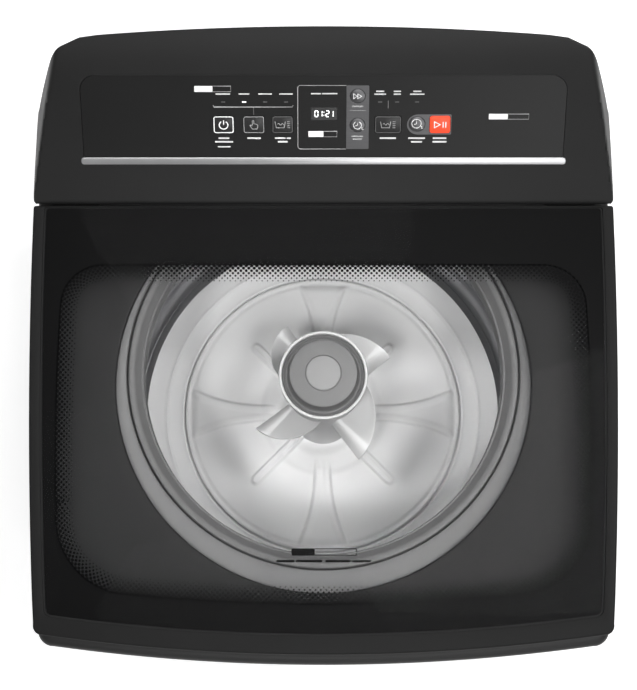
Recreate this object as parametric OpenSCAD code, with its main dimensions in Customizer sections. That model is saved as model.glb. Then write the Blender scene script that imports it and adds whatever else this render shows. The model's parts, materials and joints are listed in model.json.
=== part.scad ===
// Top load washing machine with an agitator. Millimetres, +Z up, +Y to the rear.
// The origin is on the floor, in the middle of the machine's plan.

/* [Overall] */
// Widest point of the lid and deck
top_w = 659; // [655:1:663]
// Height of the lid's top face above the floor
lid_z = 940; // [936:1:944]
// Distance from the middle to the deck's front lip
front_y = 350; // [347:1:352]
// Distance from the middle to the deck's rear edge
rear_y = 331; // [329:1:333]
// Height of the console above the lid
console_h = 130; // [126:1:134]

/* [Cabinet] */
// Width of the steel cabinet
cabinet_w = 632; // [628:1:634]
// Distance from the middle to the cabinet's front face
cabinet_front = 324; // [322:1:326]
// Distance from the middle to the rear panel's inner face
cabinet_rear = 322; // [320:1:323]
// Corner radius of the cabinet's front
cabinet_r = 24; // [22:1:28]
// Sheet thickness of the cabinet
sheet_t = 1.2; // [1:0.1:1.5]
// Height of the floor gap under the cabinet
cabinet_z = 24; // [22:1:26]

/* [Feet] */
// Radius of a foot's rubber pad
foot_r = 21; // [18:1:23]
// Radius of a foot's threaded stud
stud_r = 5; // [4:0.5:6]
// Distance of the feet from the middle, sideways
foot_x = 282; // [278:1:284]
// Distance of the feet from the middle, front and rear
foot_y = 286; // [282:1:288]

/* [Deck and lid] */
// Thickness of the lid
lid_t = 26; // [25:1:27]
// Height of the deck moulding
deck_h = 22; // [21:1:23]
// Width of the lid frame beside the glass
frame_side = 13.5; // [12:0.5:15]
// Width of the lid frame in front of the glass
frame_front = 22; // [20:0.5:24]
// Thickness of the lid glass
glass_t = 4; // [3.5:0.5:4]
// Radius of the opening in the deck
opening_r = 236; // [234:1:238]
// Depth position of the opening's centre
opening_y = -34; // [-36:1:-32]

/* [Tub and basket] */
// Depth position of the wash axis
tub_y = -18; // [-20:1:-16]
// Inner radius of the outer tub
tub_r = 285; // [284:1:286]
// Inner radius of the splash ring on the tub
tub_ring_r = 226; // [224:1:228]
// Inner radius of the basket's wall
basket_r = 257; // [256:1:258]
// Inner radius of the balance ring
balance_r = 207; // [205:1:209]
// Height of the basket's floor
basket_floor = 485; // [483:1:487]

/* [Agitator] */
// Radius of the wash plate
plate_r = 182; // [180:1:183]
// Radius of the column at its foot
column_foot_r = 44; // [42:1:48]
// Outer radius of the column's cup
cup_r = 51.9; // [51:0.1:53]
// Height of the cup's rim above the basket floor
cup_rise = 370; // [366:1:374]
// Radius of the raised cap in the cup
cap_r = 39.5; // [38:0.5:40]
// Reach of the spiral fins at their lower end
fin_reach = 93; // [86:1:96]
// Angle that each fin winds round the column
fin_twist = 52; // [44:1:58]
// Height of the spiral fins
fin_h = 108; // [100:1:112]

/* [Drive] */
// Belt radius of the driven pulley
driven_r = 72; // [70:1:74]
// Belt radius of the motor pulley
motor_pulley_r = 22; // [20:1:24]
// Distance from the wash axis back to the motor's axis
motor_gap = 165; // [163:1:168]

/* [Console] */
// Depth position of the control face's lower edge
face_y = 200.5; // [199:0.5:202]
// Height of the control face's lower edge above the lid
face_rise = 35; // [34:0.5:36]
// Slope of the control face
face_tilt = 39.5; // [39:0.5:40]
// Width of the control panel
panel_w = 533; // [528:1:538]
// Length of the control panel up the slope
panel_h = 99; // [97:1:100]

/* [Controls] */
// Clearance round each push button
key_gap = 0.4; // [0.3:0.05:0.5]
// How far a button stands proud of the panel
key_proud = 0.6; // [0.4:0.1:1]

/* [Hidden] */
$fn = 72;
e = 1;                          // overshoot of cuts
bow_y = 40;                     // widest station of the bowed sides
bow_r = 5756;                   // radius of the bowed sides
arch_r = 2190;                  // radius of the arched front
deck_top = lid_z - 28;
deck_z = deck_top - deck_h;
lid_z0 = lid_z - lid_t;
hinge_y = 150;
hinge_z = lid_z - 12;
ring_z = lid_z - 60;            // top of the splash ring
balance_z = lid_z - 66;         // top of the balance ring
tub_z = basket_floor - 45;      // underside of the outer tub
cup_z = basket_floor + cup_rise;
panel_v = 10.2;                 // panel's lower edge, up the slope
panel_t = 3;
board_w = 14;                   // depth of the circuit board under the face
inner_w = cabinet_w - 2 * sheet_t;
motor_y = tub_y + motor_gap;
pulley_z = 222;
pulley_h = 18;
rod_d = 233;                    // suspension rods, from the wash axis
rod_foot_z = 410;
lug_z = 474;
drawer_x = -110;
drawer_w = 150;
inlet_x = 230;
inlet_z = lid_z + 45;
drain_x = -250;
drain_z = lid_z - 100;
gland_x = 250;
gland_z = lid_z - 100;

// Square buttons: middle across, middle up the slope, width, height
SQUARE_KEYS = [[-110.4, 50.5, 22.6, 20.5], [-77, 50.5, 23.4, 20.5], [-45.2, 50.5, 23, 20.5],
               [71.2, 50.5, 29, 20.5], [128.6, 50.5, 22.7, 20.5]];
// Round buttons: middle across, middle up the slope, radius
ROUND_KEYS = [[37.4, 84.6, 8.2], [37.4, 49.9, 8.2], [103.2, 51.1, 8.8]];

// ---------- outlines ----------

// Half-width of the bowed sides at depth y
function side_x(y, inset, mid) = top_w / 2 - inset - pow(y - mid, 2) / (2 * bow_r);

// Depth of the arched edge at width x
function arch_y(x, front) = front + x * x / (2 * arch_r);

// Right half of a plan with an arched front, a round corner and a bowed side
function half_plan(front, rear, inset, r, rr, mid) =
    let (cx0 = side_x(front + 25, inset, mid) - r,
         cy = arch_y(cx0, front) + r,
         cx = side_x(cy, inset, mid) - r,
         rx = side_x(rear - rr, inset, mid) - rr)
    concat([for (i = [0:8]) [cx * i / 8, arch_y(cx * i / 8, front)]],
           [for (a = [-80:11:-3]) [cx + r * cos(a), cy + r * sin(a)]],
           [for (i = [1:6]) let (y = cy + (rear - rr - cy) * i / 6) [side_x(y, inset, mid), y]],
           [for (a = [15:15:90]) [rx + rr * cos(a), rear - rr + rr * sin(a)]]);

// Whole plan, mirrored across the middle
function plan(front, rear, inset, r, rr, mid = bow_y) =
    let (p = half_plan(front, rear, inset, r, rr, mid))
    concat(p, [for (i = [len(p) - 1:-1:1]) [-p[i][0], p[i][1]]]);

// Slab of that plan between two heights
module slab(z0, z1, front, rear, inset, r, rr) {
    translate([0, 0, z0])
        linear_extrude(z1 - z0)
            polygon(plan(front, rear, inset, r, rr));
}

// Rectangle with round corners, centred
module round_rect(w, h, r) {
    square([w - 2 * r, h], center = true);
    square([w, h - 2 * r], center = true);
    for (x = [-1, 1], y = [-1, 1])
        translate([x * (w / 2 - r), y * (h / 2 - r)])
            circle(r);
}

// Tube standing on z0
module tube(z0, z1, ro, ri) {
    translate([0, 0, z0])
        difference() {
            cylinder(h = z1 - z0, r = ro);
            translate([0, 0, -e])
                cylinder(h = z1 - z0 + 2 * e, r = ri);
        }
}

// Children at the wash axis
module at_axis() {
    translate([0, tub_y, 0])
        children();
}

// Children at the four corners of a rectangle
module at_corners(x, y, yc = 0) {
    for (i = [-1, 1], j = [-1, 1])
        translate([i * x, yc + j * y, 0])
            children();
}

// Children on the sloping control face: x across, y up the slope, z outward
module on_face() {
    translate([0, face_y, lid_z + face_rise])
        rotate([face_tilt, 0, 0])
            children();
}

// ---------- cabinet ----------

module cabinet_plan(inset) {
    r = cabinet_r - inset;
    w = cabinet_w / 2 - inset;
    polygon(concat(
        [for (a = [180:10:270]) [r * cos(a) - w + r, r * sin(a) - cabinet_front + cabinet_r]],
        [for (a = [270:10:360]) [r * cos(a) + w - r, r * sin(a) - cabinet_front + cabinet_r]],
        [[w, cabinet_rear], [-w, cabinet_rear]]));
}

// Plan of the space inside the sheet and its rear flanges
module base_plan() {
    intersection() {
        cabinet_plan(sheet_t);
        translate([0, cabinet_rear - sheet_t - 400])
            square([cabinet_w, 800], center = true);
    }
}

module cabinet_wrap() color([0.13, 0.13, 0.14]) {
    translate([0, 0, cabinet_z])
        linear_extrude(deck_z - cabinet_z)
            difference() {
                cabinet_plan(0);
                cabinet_plan(sheet_t);
                translate([0, cabinet_rear])
                    square([cabinet_w - 80, 2 * e], center = true);
            }
    // Rear flanges that the rear panel screws to
    for (s = [-1, 1])
        translate([s * (inner_w / 2 - 11) - 11, cabinet_rear - sheet_t, cabinet_z])
            cube([22, sheet_t, deck_z - cabinet_z]);
}

module rear_panel() color([0.42, 0.43, 0.45])
    difference() {
        union() {
            translate([-cabinet_w / 2, cabinet_rear, cabinet_z])
                cube([cabinet_w, 1, deck_z - cabinet_z]);
            // Pressed stiffening ribs
            for (x = [-150:100:150])
                translate([x - 12, cabinet_rear + 1, 120])
                    cube([24, 4, 560]);
        }
        // Cooling slots
        for (i = [0:7], x = [-200, 100])
            translate([x, cabinet_rear - e, 70 + 6 * i])
                cube([100, 1 + 2 * e, 2.5]);
        translate([drain_x, cabinet_rear - e, drain_z])
            rotate([-90, 0, 0])
                cylinder(h = 4, r = 18.1);
        translate([gland_x, cabinet_rear - e, gland_z])
            rotate([-90, 0, 0])
                cylinder(h = 4, r = 9);
    }

module base_frame() color([0.16, 0.16, 0.17]) {
    z1 = 58;
    // Upright rim inside the sheet, with a flange turned inward
    translate([0, 0, cabinet_z])
        linear_extrude(z1 - cabinet_z)
            difference() {
                base_plan();
                translate([0, 1])
                    square([inner_w - 6, 2 * cabinet_front - 12], center = true);
            }
    difference() {
        translate([0, 0, cabinet_z])
            linear_extrude(3)
                difference() {
                    base_plan();
                    square([inner_w - 90, 2 * cabinet_front - 90], center = true);
                }
        at_corners(foot_x, foot_y)
            translate([0, 0, cabinet_z - e])
                cylinder(h = 10, r = stud_r + 0.05);
    }
    // Bosses that hold the feet
    at_corners(foot_x, foot_y)
        tube(cabinet_z + 3, z1 - 6, 15, stud_r + 0.05);
    // Shelf for the drain pump
    translate([-inner_w / 2 + 2, -240, cabinet_z])
        cube([170, 130, 3]);
}

module foot_locknuts() color([0.6, 0.6, 0.62])
    at_corners(foot_x, foot_y)
        difference() {
            translate([0, 0, cabinet_z - 6])
                cylinder(h = 6, r = 9.5, $fn = 6);
            translate([0, 0, cabinet_z - 7])
                cylinder(h = 8, r = stud_r + 0.05);
        }

module corner_brackets() color([0.5, 0.5, 0.52])
    for (i = [-1, 1], j = [-1, 1])
        difference() {
            union() {
                translate([0, 0, deck_z - 24])
                    linear_extrude(3)
                        intersection() {
                            base_plan();
                            translate([i * (rod_d - 20 + 100), tub_y + j * (rod_d - 20 + 100)])
                                square(200, center = true);
                        }
                translate([i * rod_d, tub_y + j * rod_d, deck_z - 26])
                    cylinder(h = 2, r = 16);
            }
            translate([i * rod_d, tub_y + j * rod_d, deck_z - 40])
                cylinder(h = 30, r = 8);
        }

module rod_seats() color([0.85, 0.85, 0.82])
    at_corners(rod_d, rod_d, tub_y)
        translate([0, 0, deck_z - 21])
            rotate_extrude()
                polygon([[4.05, -4], [7.9, -4], [7.9, 0], [13, 0], [13, 4], [8, 9], [4.05, 9]]);

module suspension_rods() color([0.7, 0.7, 0.72])
    at_corners(rod_d, rod_d, tub_y) {
        translate([0, 0, rod_foot_z])
            cylinder(h = deck_z - 12 - rod_foot_z, r = 4);
        translate([0, 0, deck_z - 12])
            cylinder(h = 4, r = 7);
        // Cup that carries the spring
        translate([0, 0, rod_foot_z - 4])
            cylinder(h = 4, r = 22);
        translate([0, 0, rod_foot_z - 12])
            cylinder(h = 8, r = 8);
    }

module suspension_springs() color([0.45, 0.45, 0.47])
    at_corners(rod_d, rod_d, tub_y)
        for (i = [0:5])
            translate([0, 0, rod_foot_z + 2.5 + i * (lug_z - rod_foot_z - 5) / 5])
                rotate_extrude($fn = 32)
                    translate([15, 0])
                        circle(2.2, $fn = 16);

// ---------- deck ----------

module opening_cut(z0, z1, grow = 0) {
    translate([0, 0, z0])
        linear_extrude(z1 - z0)
            intersection() {
                translate([0, opening_y])
                    circle(opening_r + grow, $fn = 128);
                translate([-300, -320])
                    square([600, 448 + grow]);
            }
}

module top_deck() color([0.2, 0.2, 0.21]) {
    floor_z = deck_top - 17;
    difference() {
        slab(deck_z, deck_top, -front_y, rear_y, 1, 18, 14);
        // Hollow underside, round the dished middle
        difference() {
            slab(deck_z - e, deck_top - 3, -front_y + 3, rear_y - 3, 4, 15, 11);
            slab(deck_z - 2 * e, deck_top, -321, 141, 15, 23, 8);
            for (s = [-1, 1])
                translate([s * 283 - 18, 138, deck_z])
                    cube([36, 22, deck_h]);
        }
        slab(deck_z - e, floor_z - 3, -318, 138, 18, 20, 5);
        slab(floor_z, deck_top + e, -318, 138, 18, 20, 5);
        opening_cut(deck_z - e, deck_top + e);
        // Way out for the detergent drawer
        translate([drawer_x - drawer_w / 2 - 6, 95, deck_z - e])
            cube([drawer_w + 12, 42, deck_h + 2 * e]);
        // Seat of the dispenser housing, with the hole for its inlet
        translate([drawer_x - drawer_w / 2 - 6, 136, deck_z - e])
            cube([drawer_w + 12, 26, deck_h + e - 3]);
        translate([drawer_x, 236, deck_z])
            cylinder(h = deck_h + e, r = 9);
        // Slot for the lid's tongue
        translate([-9, -336.5, deck_z])
            cube([18, 8, deck_h + e]);
        // Wire duct to the console
        translate([150, 230, deck_z])
            cube([60, 30, deck_h + e]);
    }
    // Downturned edge of the opening
    difference() {
        opening_cut(floor_z - 6, floor_z - 3, 3);
        opening_cut(floor_z - 7, floor_z, 0);
        translate([drawer_x - drawer_w / 2 - 6, 95, deck_z - 20])
            cube([drawer_w + 12, 65, 60]);
    }
    // Hinge towers
    for (s = [-1, 1])
        difference() {
            translate([s * 283 - 12, hinge_y - 6, deck_top])
                cube([24, 12, hinge_z - deck_top]);
            translate([s * 283 - 13, hinge_y, hinge_z])
                rotate([0, 90, 0])
                    cylinder(h = 26, r = 4);
        }
    for (s = [-1, 1])
        translate([s * 283 - 12, hinge_y, hinge_z])
            rotate([0, 90, 0])
                difference() {
                    cylinder(h = 24, r = 6);
                    translate([0, 0, -e])
                        cylinder(h = 26, r = 4);
                }
}

module hinge_pins() color([0.75, 0.75, 0.77])
    for (s = [-1, 1])
        translate([s * 287 - 27, hinge_y, hinge_z])
            rotate([0, 90, 0])
                cylinder(h = 54, r = 4);

module lid_lock() color([0.1, 0.1, 0.1])
    difference() {
        translate([-35, -343, deck_z + 1])
            cube([70, 20, deck_h - 4]);
        translate([-9, -336.5, deck_z + 4])
            cube([18, 8, deck_h]);
    }

// ---------- lid ----------

module lid_frame() color([0.25, 0.25, 0.26]) {
    difference() {
        slab(lid_z0, lid_z, -339.3, 161.6, 0, 10, 3);
        // Hollow underside
        slab(lid_z0 - e, lid_z - 7, -336.3, 158.6, 3, 7, 1);
        // Seat of the glass
        slab(lid_z - glass_t, lid_z + e, -339.3 + frame_front, 158, frame_side, 9, 4);
        // Window
        slab(lid_z - 10, lid_z + e, -295, 100, frame_side + 12, 22, 22);
        // Raised underside behind the hinge line
        translate([-400, hinge_y - 4, lid_z0 - e])
            cube([800, 40, hinge_z - 3 - lid_z0 + e]);
        for (s = [-1, 1])
            translate([s * 283 - 16, hinge_y - 14, lid_z0 - e])
                cube([32, 40, lid_t - 3.5 + e]);
    }
    // Hinge ears
    for (s = [-1, 1])
        translate([s * 307 - 4 - s * 2, hinge_y, hinge_z])
            rotate([0, 90, 0])
                difference() {
                    union() {
                        cylinder(h = 8, r = 7.5);
                        translate([-5, -7.5, 0])
                            cube([5, 15, 8]);
                    }
                    translate([0, 0, -e])
                        cylinder(h = 10, r = 4.05);
                }
    // Tongue for the lid lock
    translate([-6, -334, lid_z0 - 8])
        cube([12, 3, lid_t - 6 + 8]);
}

module lid_glass() color([0.1, 0.1, 0.11, 0.5])
    slab(lid_z - glass_t, lid_z - 0.3, -339.3 + frame_front + 0.8, 157.2, frame_side + 0.8, 8.2, 3.5);

// ---------- console ----------

// Side profile of the console, moved inward by t
function console_side(t) = [[171.5 + t, 0], [171.5 + t, 26], [165 + t, 29], [165 + t, 35 - t * 0.4],
    [face_y + t * 0.63, 28 + face_rise - t * 0.78], [285.5 + t * 0.5, 28 + 105 - t],
    [308 + t * 0.2, 28 + 119 - t], [320, 28 + 125 - t], [rear_y, 28 + console_h - t], [rear_y, 0]];

// Front view of the console, moved inward by t
function console_front(t) = concat(
    [[329 - t, 0], [328 - t, 33], [328 - t - 0.246 * (console_h - 18), 28 + console_h - 18]],
    [for (a = [0:15:90]) [280.5 - t * 0.5 + 18 * sin(90 - a), 28 + console_h - 18 + (18 - t) * sin(a)]]);

module console_block(t) {
    translate([0, 0, deck_top])
        intersection() {
            rotate([90, 0, 90])
                translate([0, 0, -340])
                    linear_extrude(680)
                        polygon(console_side(t));
            rotate([90, 0, 0])
                translate([0, 0, -400])
                    linear_extrude(300)
                        polygon(concat(console_front(t), [
                            for (i = [9:-1:0])
                                [-console_front(t)[i][0], console_front(t)[i][1]]
                        ]));
            mirror([0, 1, 0])
                linear_extrude(200)
                    polygon(plan(-rear_y + t, -160, 1.5 + t, 30 - t, 2, -bow_y));
        }
}

module console_housing() color([0.22, 0.22, 0.23])
    difference() {
        console_block(0);
        difference() {
            translate([0, 0, -0.01])
                console_block(3);
            // Seat plate under the control face
            on_face()
                translate([-290, -10, -7])
                    cube([580, 125, 8]);
        }
        // Open back, behind the recessed rear cover
        translate([-288, 300, deck_top - e])
            cube([576, 60, 108]);
        // Seat of the panel and trim
        on_face() {
            translate([-panel_w / 2, panel_v, -panel_t])
                cube([panel_w, panel_h, panel_t + 20]);
            translate([-270, 1.8, -3])
                cube([540, 8.4, 23]);
            // Window for the keys and board
            translate([-panel_w / 2 + 10, panel_v + 8, -20])
                cube([panel_w - 20, panel_h - 16, 30]);
        }
    }

module console_back() color([0.2, 0.2, 0.21])
    difference() {
        translate([-288, 300, deck_top])
            cube([576, 3, 107]);
        translate([inlet_x, 298, inlet_z])
            rotate([-90, 0, 0])
                cylinder(h = 10, r = 14);
    }

module control_panel() color([0.14, 0.14, 0.15])
    on_face()
        difference() {
            translate([0, panel_v + panel_h / 2, -panel_t])
                linear_extrude(panel_t - 0.3)
                    round_rect(panel_w, panel_h, 3);
            for (k = SQUARE_KEYS)
                translate([k[0], k[1], -panel_t - e])
                    linear_extrude(panel_t + 2 * e)
                        round_rect(k[2] + 2 * key_gap, k[3] + 2 * key_gap, 3 + key_gap);
            for (k = ROUND_KEYS)
                translate([k[0], k[1], -panel_t - e])
                    cylinder(h = panel_t + 2 * e, r = k[2] + key_gap);
            translate([0.6, 63.4, -panel_t - e])
                linear_extrude(panel_t + 2 * e)
                    square([28.6, 15], center = true);
        }

module chrome_trim() color([0.8, 0.8, 0.82])
    on_face()
        translate([0, 6, -3])
            linear_extrude(3.4)
                round_rect(540, 8.4, 3);

module display_window() color([0.3, 0.3, 0.32])
    on_face()
        translate([-13.7, 55.9, -panel_t])
            cube([28.6, 15, panel_t - 0.2]);

module control_board() color([0.1, 0.35, 0.2])
    on_face() {
        translate([-200, 24, -board_w])
            cube([400, 72, 1.6]);
        for (x = [-190, -20, 190], y = [28, 92])
            translate([x, y, -board_w + 1.6])
                cylinder(h = board_w - 1.6 - panel_t, r = 3);
        // Transformer and relays
        translate([-180, 40, -board_w - 22])
            cube([46, 40, 22]);
        for (i = [0:3])
            translate([40 + 34 * i, 40, -board_w - 14])
                cube([20, 28, 14]);
    }

// One square button, with its shoulder behind the panel
module square_key(k) {
    on_face()
        translate([k[0], k[1], 0]) {
            translate([0, 0, -panel_t - 0.5])
                linear_extrude(panel_t + 0.5 + key_proud)
                    round_rect(k[2], k[3], 3);
            translate([0, 0, -panel_t - 3])
                linear_extrude(2.5)
                    round_rect(k[2] + 3, k[3] + 3, 3);
        }
}

// One round button, with its shoulder behind the panel
module round_key(k) {
    on_face()
        translate([k[0], k[1], 0]) {
            translate([0, 0, -panel_t - 0.5])
                cylinder(h = panel_t + 0.5 + key_proud, r = k[2]);
            translate([0, 0, -panel_t - 3])
                cylinder(h = 2.5, r = k[2] + 1.5);
        }
}

module power_button() color([0.1, 0.1, 0.11]) square_key(SQUARE_KEYS[0]);
module cycle_button() color([0.1, 0.1, 0.11]) square_key(SQUARE_KEYS[1]);
module level_button() color([0.1, 0.1, 0.11]) square_key(SQUARE_KEYS[2]);
module options_button() color([0.1, 0.1, 0.11]) square_key(SQUARE_KEYS[3]);
module start_button() color([1, 0.3, 0.18]) square_key(SQUARE_KEYS[4]);
module forward_button() color([0.55, 0.55, 0.57]) round_key(ROUND_KEYS[0]);
module reduce_button() color([0.55, 0.55, 0.57]) round_key(ROUND_KEYS[1]);
module delay_button() color([0.6, 0.6, 0.62]) round_key(ROUND_KEYS[2]);

// ---------- water and drain ----------

module water_valve() color([0.85, 0.85, 0.83])
    translate([inlet_x, 0, inlet_z]) {
        // Threaded spigot for the inlet hose
        difference() {
            union() {
                translate([0, 303, 0])
                    rotate([-90, 0, 0])
                        cylinder(h = 36, r = 13.2);
                translate([0, 303, 0])
                    rotate([-90, 0, 0])
                        cylinder(h = 8, r = 19);
                translate([0, 270, 0])
                    rotate([-90, 0, 0])
                        cylinder(h = 33, r = 13);
            }
            translate([0, 314, 0])
                rotate([-90, 0, 0])
                    cylinder(h = 26, r = 8.5);
        }
        // Coil and outlet
        translate([-16, 262, -30])
            cube([32, 16, 44]);
        translate([-42, 270, -22])
            rotate([0, 90, 0])
                cylinder(h = 26, r = 6);
    }

// Quarter bend of a hose: starts along +X at the origin and turns towards +Y
module bend(r, ro, ri) {
    translate([0, r, 0])
        rotate([0, 0, -90])
            rotate_extrude(angle = 90)
                translate([r, 0])
                    difference() {
                        circle(ro, $fn = 24);
                        circle(ri, $fn = 24);
                    }
}

// Straight run of a hose along +X
module run(l, ro, ri) {
    rotate([0, 90, 0])
        difference() {
            cylinder(h = l, r = ro, $fn = 24);
            translate([0, 0, -e])
                cylinder(h = l + 2 * e, r = ri, $fn = 24);
        }
}

module fill_hose() color([0.15, 0.15, 0.15]) {
    // From the valve to the left, then forward and down into the dispenser
    x0 = inlet_x - 42;
    len_x = x0 - drawer_x - 22;
    z0 = inlet_z - 22;
    translate([x0, 270, z0])
        rotate([0, 0, 180]) {
            run(len_x, 8, 6);
            translate([len_x, 0, 0])
                bend(22, 8, 6);
        }
    translate([drawer_x, 248, z0])
        rotate([0, 0, -90]) {
            rotate([-90, 0, 0])
                bend(12, 8, 6);
            translate([12, 0, -12])
                rotate([0, 90, 0])
                    run(z0 - 12 - (deck_top + 18), 8, 6);
        }
}

module dispenser_housing() color([0.3, 0.3, 0.31])
    difference() {
        union() {
            translate([drawer_x - drawer_w / 2 - 5, 138, deck_z - 1])
                cube([drawer_w + 10, 124, deck_h - 2.2]);
            translate([drawer_x, 236, deck_top - 4])
                cylinder(h = 22, r = 7.5);
        }
        translate([drawer_x - drawer_w / 2 - 2.5, 137, deck_z + 1])
            cube([drawer_w + 5, 122, deck_h - 6]);
        translate([drawer_x, 236, deck_top - 8])
            cylinder(h = 30, r = 5);
        // Spouts in the floor
        for (i = [-2:2])
            translate([drawer_x + 28 * i - 8, 170, deck_z - 3])
                cube([16, 8, 8]);
    }

module detergent_drawer() color([0.35, 0.35, 0.36])
    translate([drawer_x, 0, 0])
        difference() {
            union() {
                translate([-drawer_w / 2, 137.5, deck_z + 1.6])
                    cube([drawer_w, 112, deck_h - 7.6]);
                translate([-drawer_w / 2 - 4, 130, deck_z - 1])
                    cube([drawer_w + 8, 7.5, deck_h - 1]);
            }
            for (s = [-1, 1])
                translate([s * (drawer_w / 4) - (drawer_w / 4 - 3), 140, deck_z + 3.6])
                    cube([drawer_w / 2 - 6, 106, deck_h]);
            // Finger pull under the front
            translate([-30, 129, deck_z - 2])
                cube([60, 5, 12]);
        }

module pressure_sensor() color([0.9, 0.9, 0.88]) {
    translate([184, 262, lid_z + 33]) {
        cylinder(h = 16, r = 18);
        translate([0, 0, 16])
            cylinder(h = 6, r = 12);
        translate([-10, 16, 2])
            cube([20, 22, 10]);
    }
    // Air hose down towards the tub
    translate([180, 250, deck_z - 40])
        cylinder(h = lid_z + 34 - deck_z + 40, r = 3.5);
}

module drain_pump() color([0.8, 0.8, 0.8])
    translate([-225, -175, cabinet_z + 3]) {
        translate([-35, -45, 0])
            cube([70, 90, 4]);
        translate([0, -10, 4])
            cylinder(h = 42, r = 34);
        translate([0, -10, 46])
            cylinder(h = 30, r = 26);
        translate([-22, 22, 4])
            cube([44, 20, 40]);
        // Outlet
        translate([-20, 40, 24])
            rotate([-90, 0, 0])
                cylinder(h = 16, r = 11);
    }

module drain_hose() color([0.25, 0.25, 0.26]) {
    // Back along the left side, then up the rear corner to the outlet
    x = -245;
    z = cabinet_z + 27;
    y0 = -119;
    y1 = 262;
    translate([x, y0, z])
        rotate([0, 0, 90])
            run(y1 - y0, 13.5, 11.2);
    translate([x, y1, z])
        rotate([0, 0, 90])
            rotate([90, 0, 0])
                bend(30, 13.5, 11.2);
    translate([x, y1 + 30, z + 30])
        rotate([0, -90, 0])
            run(drain_z - 14 - z - 30, 13.5, 11.2);
}

module drain_outlet() color([0.2, 0.2, 0.21]) {
    translate([drain_x, cabinet_rear - 12, drain_z])
        rotate([-90, 0, 0])
            difference() {
                union() {
                    cylinder(h = 40, r = 11);
                    cylinder(h = 14, r = 18);
                }
                translate([0, 0, 2])
                    cylinder(h = 39, r = 8.5);
            }
    translate([-245, 292, drain_z - 14])
        cylinder(h = 12, r = 14);
    translate([-245 - 12, 286, drain_z - 2])
        cube([24, cabinet_rear - 12 - 286, 12]);
}

module cable_gland() color([0.08, 0.08, 0.08])
    translate([gland_x, cabinet_rear - 6, gland_z])
        rotate([-90, 0, 0])
            difference() {
                union() {
                    cylinder(h = 22, r = 8.9);
                    translate([0, 0, 7.2])
                        cylinder(h = 4, r = 14);
                    cylinder(h = 5.8, r = 13);
                }
                translate([0, 0, -e])
                    cylinder(h = 30, r = 3.6);
            }

module panel_screws() color([0.6, 0.6, 0.62]) {
    for (s = [-1, 1], i = [0:4])
        translate([s * (cabinet_w / 2 - 10), cabinet_rear + 1, 60 + i * 195])
            rotate([-90, 0, 0])
                cylinder(h = 3, r = 4);
    for (s = [-1, 1], z = [30, 80])
        translate([s * 278, 303, deck_top + z])
            rotate([-90, 0, 0])
                cylinder(h = 3, r = 4);
}

// ---------- suspended tub ----------

module outer_tub() color([0.85, 0.85, 0.84])
    at_axis() {
        difference() {
            translate([0, 0, tub_z])
                cylinder(h = ring_z - 8 - tub_z, r = tub_r + 3, $fn = 128);
            translate([0, 0, tub_z + 5])
                cylinder(h = 600, r = tub_r, $fn = 128);
            translate([0, 0, tub_z - e])
                cylinder(h = 10, r = 34.2);
        }
        // Lugs that rest on the suspension springs
        for (a = [45:90:315])
            rotate([0, 0, a])
                difference() {
                    translate([tub_r - 2 + 4, -24, lug_z])
                        cube([rod_d * sqrt(2) + 24 - tub_r - 2, 48, 8]);
                    translate([rod_d * sqrt(2), 0, lug_z - e])
                        cylinder(h = 10, r = 7);
                }
        for (a = [45:90:315], s = [-1, 1])
            rotate([0, 0, a])
                translate([tub_r + 2, s * 20 - 2, lug_z - 30])
                    cube([24, 4, 30]);
        // Bosses for the bracket
        for (a = [0:90:270])
            rotate([0, 0, a + 45])
                translate([150, 0, tub_z - 26])
                    cylinder(h = 26, r = 14);
    }

module tub_ring() color([0.52, 0.52, 0.53])
    at_axis()
        rotate_extrude($fn = 128)
            polygon([[tub_ring_r, ring_z - 3], [tub_ring_r + 1, ring_z], [tub_r + 8, ring_z],
                     [tub_r + 8, ring_z - 24], [tub_r + 3, ring_z - 24], [tub_r + 3, ring_z - 8],
                     [tub_r - 4, ring_z - 8], [tub_r - 4, ring_z - 3]]);

module tub_bracket() color([0.45, 0.45, 0.47])
    at_axis()
        translate([0, 0, tub_z - 34])
            difference() {
                union() {
                    for (a = [45, 135])
                        rotate([0, 0, a])
                            translate([-170, -30, 0])
                                cube([340, 60, 8]);
                    cylinder(h = 8, r = 100);
                    // Arm for the motor
                    translate([-62, 60, 0])
                        cube([124, motor_gap + 10, 8]);
                }
                translate([0, 0, -e])
                    cylinder(h = 10, r = 34);
            }

module gearcase() color([0.6, 0.6, 0.62])
    at_axis()
        translate([0, 0, tub_z - 34])
            rotate_extrude()
                polygon([[8.05, -112], [30, -112], [30, -104], [84, -96], [84, -8], [92, -8],
                         [92, 0], [34, 0], [34, 36], [26, 36], [26, -30], [14.2, -30],
                         [14.2, -40], [60, -40], [60, -90], [8.05, -90]]);

module spin_bearings() color([0.7, 0.7, 0.72])
    at_axis()
        for (z = [tub_z - 62, tub_z - 16])
            tube(z, z + 14, 26, 14.05);

module tub_seal() color([0.1, 0.1, 0.1])
    at_axis()
        tube(tub_z + 3, tub_z + 12, 34, 14.4);

module drive_motor() color([0.55, 0.55, 0.57])
    translate([0, motor_y, 0]) {
        z0 = 250;
        z1 = tub_z - 34;
        tube(z0 + 6, z1 - 30, 62, 48);
        tube(z0, z0 + 6, 62, 6.05);
        translate([0, 0, z1 - 30])
            cylinder(h = 6, r = 62);
        for (a = [45:90:315])
            rotate([0, 0, a])
                translate([50, 0, z1 - 24])
                    cylinder(h = 24, r = 7);
    }

module clutch_actuator() color([0.15, 0.15, 0.16])
    translate([93, tub_y - 26, tub_z - 76])
        cube([40, 52, 42]);

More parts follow.
